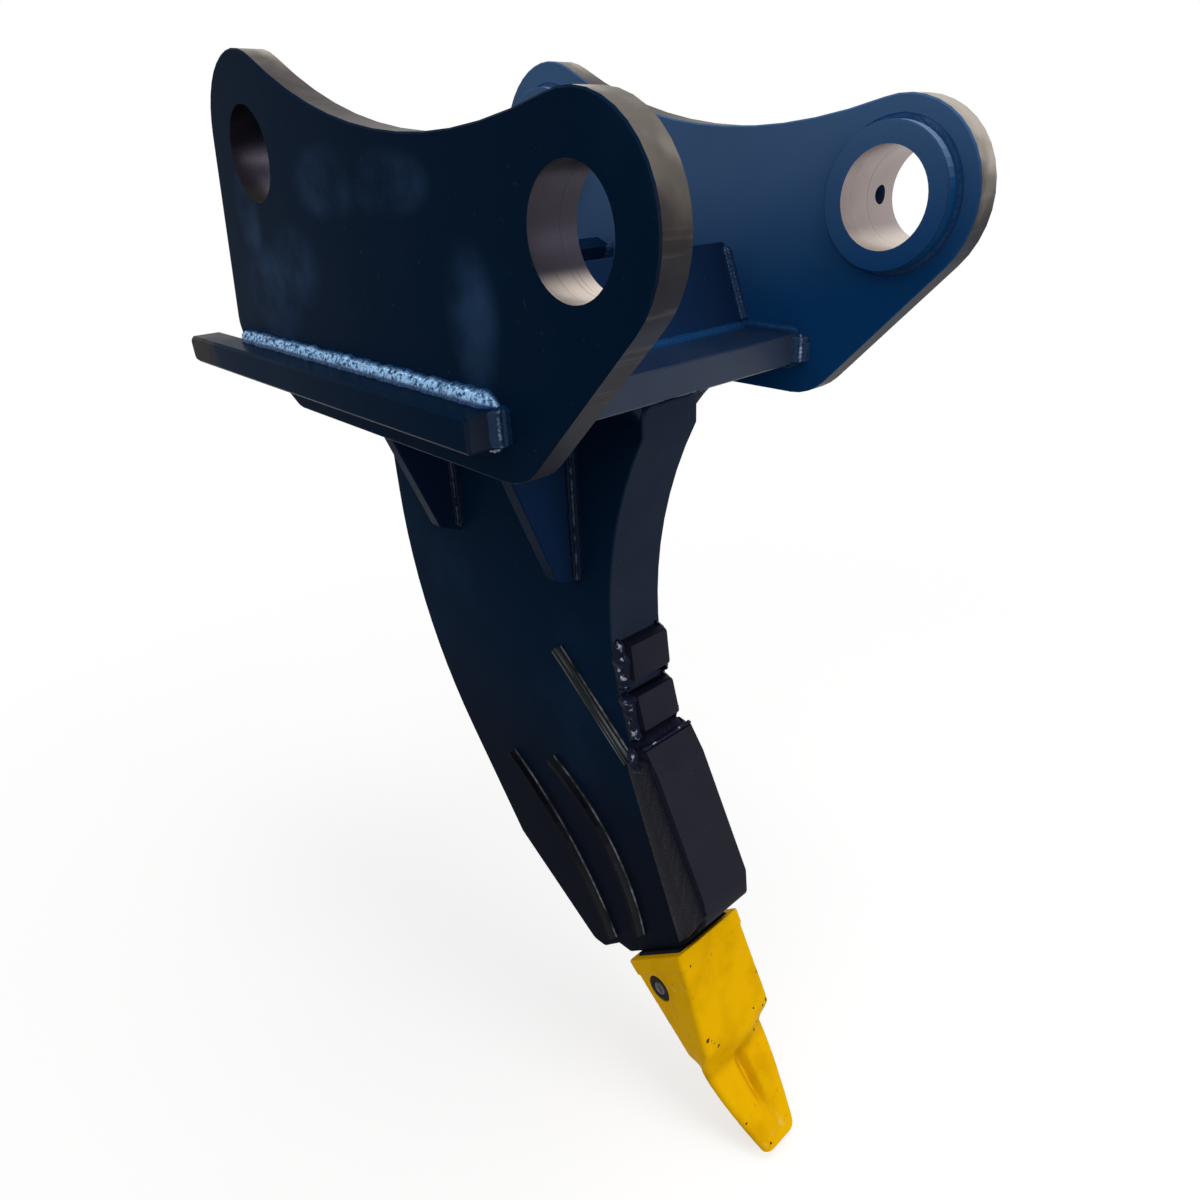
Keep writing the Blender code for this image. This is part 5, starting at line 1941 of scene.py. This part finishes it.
@dataclass
class ToothSystem:
    """The cast tooth on its nose, with the pin and rubber rings that lock it."""

    layout: Layout
    palette: Palette
    shape: ToothShape = ToothShape()
    ring_lip: float = 0.0022

    def stations(self) -> tuple[np.ndarray, np.ndarray]:
        """Work out the outside's distances along the axis.

        Both ends are rounded by a quarter circle: r (1 - sin p) along and r (1 - cos p)
        in at the mouth, and the same mirrored at the tip.

        Returns:
            The distances and how far each is drawn in.
        """
        shape = self.shape
        turn = np.linspace(np.pi / 2, 0.0, 6)
        mouth = shape.lip_radius * (1.0 - np.sin(turn))
        mouth_inset = shape.lip_radius * (1.0 - np.cos(turn))
        rim = np.linspace(shape.lip_radius, shape.rim_length - shape.rim_lip, 8)[1:]
        edge = np.linspace(shape.rim_length - shape.rim_lip, shape.rim_length + 2 * shape.rim_lip, 7)[1:]
        box = np.linspace(shape.rim_length + 2 * shape.rim_lip, shape.box_length, 46)[1:]
        shoulder_end = shape.box_length + shape.shoulder_bow + shape.shoulder_run
        shoulder = np.linspace(shape.box_length, shoulder_end, 34)[1:]
        blade = np.linspace(shoulder_end, shape.length - shape.tip_radius, 52)[1:]
        last = np.linspace(0.0, np.pi / 2, 12)[1:-1]
        tip = shape.length - shape.tip_radius + (shape.tip_radius - shape.tip_edge) * np.sin(last)
        round_off = np.linspace(0.0, np.pi / 2, 6)[1:]
        tip_end = shape.length - shape.tip_edge + shape.tip_edge * np.sin(round_off)
        tip_inset = shape.tip_edge * (1.0 - np.cos(round_off))
        middle = np.concatenate([rim, edge, box, shoulder, blade, tip])
        along = np.concatenate([mouth, middle, tip_end])
        inset = np.concatenate([mouth_inset, np.zeros_like(middle), tip_inset])
        return along, inset

    def casting(self) -> bpy.types.Mesh:
        """Work out the casting as one closed surface.

        Rows go from the socket's floor out to the mouth, over its lip and along the
        outside to the tip. The outside is pulled in by slow waves of the mould and by
        depth exp(-(distance / size) squared) at each nick.

        Returns:
            The mesh, with wear and chip values and a hollow value that marks painted shade.
        """
        shape = self.shape
        inner_along = np.linspace(shape.nose_length + shape.nose_clearance, 0.0, 14)
        inner_across, inner_above = shape.socket(inner_along)
        along, inset = self.stations()
        across, above = shape.outside(along, inset)
        run = np.concatenate([inner_along, along])[:, None]
        half_across = np.concatenate([inner_across, across])
        half_above = np.concatenate([inner_above, above])
        full_across = np.concatenate([half_across, -half_across[:, -2:0:-1]], axis=1)
        full_above = np.concatenate([half_above, half_above[:, -2:0:-1]], axis=1)
        full_along = np.broadcast_to(run, full_across.shape)
        outside = np.arange(len(run))[:, None] >= len(inner_along)

        mid_above = full_above.mean(axis=1, keepdims=True)
        away = np.hypot(full_across, full_above - mid_above)
        skin = 0.00025 * (1.0 + waves(full_along * 130.0, full_across * 90.0, full_above * 70.0))
        pull = np.where(outside, skin, 0.0)
        front_zone = outside & (full_above > mid_above)
        chip = np.zeros_like(full_across)
        for nick in NICKS:
            distance = np.hypot(full_along - nick.along, full_across - nick.across)
            pit = np.exp(-((distance / nick.size) ** 2)) * front_zone
            pull = pull + nick.depth * pit
            chip = np.maximum(chip, pit)
        pulled_across = full_across - pull * full_across / away
        pulled_above = full_above - pull * (full_above - mid_above) / away

        shoulder = np.exp(-(((full_along - shape.box_length - 0.004) / 0.014) ** 2))
        rim = np.exp(-(((full_along - shape.rim_length - 0.002) / 0.004) ** 2))
        corner = smooth((np.abs(full_across) - 0.78 * np.abs(full_across).max(axis=1, keepdims=True)) / 0.01)
        tip = smooth((full_along - 0.255) / 0.05)
        worn = [0.7 * shoulder * corner, 0.5 * rim, 0.35 * corner, 0.6 * tip]
        wear = outside * np.maximum.reduce(worn)
        # hollow marks the groove and the shoulder's foot, where painted shade lies.
        groove = smooth(1.15 - np.abs(full_across) / 0.015) * smooth((full_along - 0.160) / 0.012)
        groove = groove * smooth((0.275 - full_along) / 0.06)
        foot = 0.6 * np.exp(-(((full_along - 0.172) / 0.009) ** 2))
        hollow = np.maximum(groove, foot) * front_zone
        points = self.layout.tooth_place(full_along, pulled_across, pulled_above)
        return grid_mesh("tooth_casting", points, {"wear": wear, "chip": chip, "hollow": hollow})

    def revolve(
        self, name: str, radius: np.ndarray, depth: np.ndarray, ring: bool = False
    ) -> bpy.types.Mesh:
        """Turn a profile about the pin's axis.

        A point is the axis plus r cos(a) along the tooth, r sin(a) above it and the
        profile's own place across.

        Args:
            name: The mesh's name.
            radius: The profile's radii.
            depth: The profile's places across the tooth.
            ring: Whether the profile is closed, rather than capped at both its ends.

        Returns:
            The closed mesh.
        """
        angle = np.linspace(0.0, 2.0 * np.pi, 72, endpoint=False)[None, :]
        radius, depth = radius[:, None], depth[:, None]
        points = self.layout.tooth_place(
            self.shape.lock_along + radius * np.cos(angle), depth + 0.0 * angle,
            -self.shape.lock_below + radius * np.sin(angle),
        )
        return grid_mesh(name, points, ring=ring)

    def cylinder(self, name: str, radius: float, low: float, high: float) -> bpy.types.Object:
        """Make a plain cylinder about the pin's axis, for cutting.

        Args:
            name: Its name.
            radius: Its radius.
            low: Its lower end across the tooth.
            high: Its upper end.

        Returns:
            The cylinder.
        """
        mesh = self.revolve(name, np.array([radius, radius]), np.array([low, high]))
        item = bpy.data.objects.new(name, mesh)
        bpy.context.scene.collection.objects.link(item)
        return item

    def bore(self, mesh: bpy.types.Mesh) -> bpy.types.Mesh:
        """Cut the pin's hole and the two ring seats out of the casting.

        Args:
            mesh: The casting.

        Returns:
            A new mesh with the holes in it.
        """
        shape = self.shape
        side = shape.side_at_pin()
        seat = side - shape.ring_depth - shape.ring_width
        ring = shape.pin_radius + shape.seam + shape.ring_wall + shape.seam
        cutters = [self.cylinder("pin_hole", shape.pin_radius + shape.seam, -2 * side, 2 * side)]
        cutters.append(self.cylinder("left_seat", ring, seat, 2 * side))
        cutters.append(self.cylinder("right_seat", ring, -2 * side, -seat))
        blank = bpy.data.objects.new("blank", mesh)
        bpy.context.scene.collection.objects.link(blank)
        for cutter in cutters:
            cut = blank.modifiers.new(cutter.name, "BOOLEAN")
            cut.operation = "DIFFERENCE"
            cut.solver = "EXACT"
            cut.object = cutter
        evaluated = blank.evaluated_get(bpy.context.evaluated_depsgraph_get())
        bored = bpy.data.meshes.new_from_object(evaluated)
        for item in [blank, *cutters]:
            bpy.data.objects.remove(item, do_unlink=True)
        return bored

    def add_rings(self) -> None:
        """Add the rings, with a rounded lip, set a little below the tooth's sides."""
        shape, lip = self.shape, self.ring_lip
        inner = shape.pin_radius + shape.seam
        outer = inner + shape.ring_wall
        turn = np.linspace(0.0, np.pi / 2, 7)
        face = shape.side_at_pin() - shape.ring_depth
        floor = face - shape.ring_width + shape.seam
        radii = np.concatenate([
            [inner, inner], inner + lip * (1 - np.cos(turn)), outer - lip * (1 - np.sin(turn)), [outer],
        ])
        depths = np.concatenate([
            [floor, face - lip], face - lip * (1 - np.sin(turn)), face - lip * (1 - np.cos(turn)), [floor],
        ])
        for side in Side:
            name = f"{side.label}_ring"
            mesh = self.revolve(name, radii, depths * side.value, ring=True)
            ring = add_piece(name, mesh, self.palette.rubber, sharp=60.0)
            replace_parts(ring, f"{side.label}_lock_ring")

    def add_pin(self) -> None:
        """Add the pin, with broken edges and a shallow dimple in each end."""
        end = self.shape.side_at_pin() - self.shape.ring_depth
        half_r = np.array([0.0006, 0.0032, 0.0042, 0.0086, 0.0095, self.shape.pin_radius])
        half_d = np.array([-0.0014, -0.0014, 0.0, 0.0, -0.0004, -0.0013]) + end
        radii = np.concatenate([half_r, half_r[::-1]])
        depths = np.concatenate([half_d, -half_d[::-1]])
        mesh = self.revolve("turned_pin", radii, depths)
        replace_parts(add_piece("turned_pin", mesh, self.palette.steel), "tooth_pin")

    def build(self) -> None:
        """Build the casting and its lock, and dress the nose."""
        mesh = self.bore(self.casting())
        tooth = add_piece("tooth_casting", mesh, self.palette.yellow)
        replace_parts(tooth, "tooth")
        dress_node("tooth_nose", self.palette.black)
        self.add_rings()
        self.add_pin()


@dataclass
class Studio:
    """The pale floor, the soft lamps and the camera at the photograph's viewpoint."""

    position: Place = (0.46697, -0.60790, 0.04159)
    azimuth: float = math.radians(49.062)
    elevation: float = math.radians(27.377)
    roll: float = math.radians(2.836)
    focal_pixels: float = 844.63
    image_pixels: float = 1200.0
    floor_size: float = 14.0
    floor_gap: float = 0.004
    fade: Span = (0.9, 2.4)
    glow: float = 0.60
    sky: float = 0.62

    def camera(self) -> None:
        """Aim the camera, which looks down from the digging side, slightly rolled."""
        back = Vector((
            math.sin(self.azimuth) * math.cos(self.elevation),
            -math.cos(self.azimuth) * math.cos(self.elevation),
            math.sin(self.elevation),
        ))
        right = (-back).cross(Vector((0.0, 0.0, 1.0))).normalized()
        down = (-back).cross(right)
        right_rolled = right * math.cos(self.roll) + down * math.sin(self.roll)
        down_rolled = down * math.cos(self.roll) - right * math.sin(self.roll)
        data = bpy.data.cameras.new("photo_camera")
        data.sensor_width = 36.0
        data.lens = self.focal_pixels / self.image_pixels * data.sensor_width
        data.clip_start = 0.01
        camera = bpy.data.objects.new("photo_camera", data)
        bpy.context.scene.collection.objects.link(camera)
        turn = Matrix((right_rolled, -down_rolled, back)).transposed().to_4x4()
        turn.translation = self.position
        camera.matrix_world = turn
        bpy.context.scene.camera = camera

    def seen(self, tree: bpy.types.NodeTree) -> Socket:
        """Tell camera, glossy and transmission rays from the rest.

        Args:
            tree: The node tree to build in.

        Returns:
            A value of 1 for those rays and 0 for the rest.
        """
        path = tree.nodes.new("ShaderNodeLightPath")
        total = path.outputs["Is Camera Ray"]
        for label in ("Is Glossy Ray", "Is Transmission Ray"):
            node = tree.nodes.new("ShaderNodeMath")
            node.operation = "MAXIMUM"
            tree.links.new(total, node.inputs[0])
            tree.links.new(path.outputs[label], node.inputs[1])
            total = node.outputs["Value"]
        return total

    def floor(self) -> None:
        """Lay a wide white floor that keeps the part's soft shadow and fades into the sky."""
        level = CAD_BOX[0][2] - self.floor_gap
        size = self.floor_size
        mesh = bpy.data.meshes.new("studio_floor")
        mesh.from_pydata(
            [(-size, -size, level), (size, -size, level), (size, size, level), (-size, size, level)],
            [], [(0, 1, 2, 3)],
        )
        graph = ShaderGraph("studio_floor")
        x, y = graph.axis(Axis.X), graph.axis(Axis.Y)
        squares = graph.add(graph.times(x, x), graph.times(y, y))
        far = graph.step(graph.math(Operation.SQRT, squares), *self.fade)
        graph.set(
            Base_Color=graph.mix(far, (0.5, 0.5, 0.5, 1.0), BLANK),
            Roughness=1.0,
            Specular_IOR_Level=0.0,
            Emission_Color=WHITE,
            Emission_Strength=graph.times(self.seen(graph.tree), graph.span(far, self.glow, 1.0)),
        )
        mesh.materials.append(graph.material)
        floor = bpy.data.objects.new("studio_floor", mesh)
        bpy.context.scene.collection.objects.link(floor)

    def world(self) -> None:
        """Fill the studio with an even light, shown white to the camera and in metal."""
        world = bpy.data.worlds.new("studio")
        world.use_nodes = True
        bpy.context.scene.world = world
        tree = world.node_tree
        strength = tree.nodes.new("ShaderNodeMapRange")
        strength.inputs["To Min"].default_value = self.sky
        strength.inputs["To Max"].default_value = 1.0
        tree.links.new(self.seen(tree), strength.inputs["Value"])
        background = tree.nodes["Background"]
        background.inputs["Color"].default_value = WHITE
        tree.links.new(strength.outputs["Result"], background.inputs["Strength"])

    def lamp(
        self, name: str, place: Place, target: Place, size: float, watts: float,
        tint: Place = (1.0, 1.0, 1.0),
    ) -> None:
        """Hang one square soft lamp and aim it.

        Args:
            name: The lamp's name.
            place: Where it hangs.
            target: What it is aimed at.
            size: Its edge length.
            watts: Its power.
            tint: Its colour.
        """
        data = bpy.data.lights.new(name, "AREA")
        data.shape = "SQUARE"
        data.size = size
        data.energy = watts
        data.color = tint
        lamp = bpy.data.objects.new(name, data)
        bpy.context.scene.collection.objects.link(lamp)
        lamp.location = place
        aim = Vector(target) - Vector(place)
        lamp.rotation_euler = aim.to_track_quat("-Z", "Y").to_euler()

    def build(self) -> None:
        """Set the whole studio up."""
        self.camera()
        self.floor()
        self.world()
        self.lamp("overhead", (0.3, 0.1, 2.2), (-0.25, 0.0, 0.0), 1.2, 18.0, (1.0, 0.97, 0.93))
        self.lamp("front", (2.6, 0.6, 0.5), (-0.1, 0.0, -0.5), 1.4, 26.0)
        bpy.context.scene.view_settings.view_transform = "Standard"


def main() -> None:
    """Build every sub-assembly in order and report it."""
    logging.basicConfig(level=logging.INFO, format="%(name)s: %(message)s")
    Studio().build()
    LOG.info("studio ready")
    layout, palette = Layout(), Palette()
    for assembly in (EarPair, BaseFrame, ShankBody, WearArmour, ToothSystem):
        assembly(layout, palette).build()
        LOG.info("%s built", assembly.__name__)


if __name__ == "__main__":
    main()
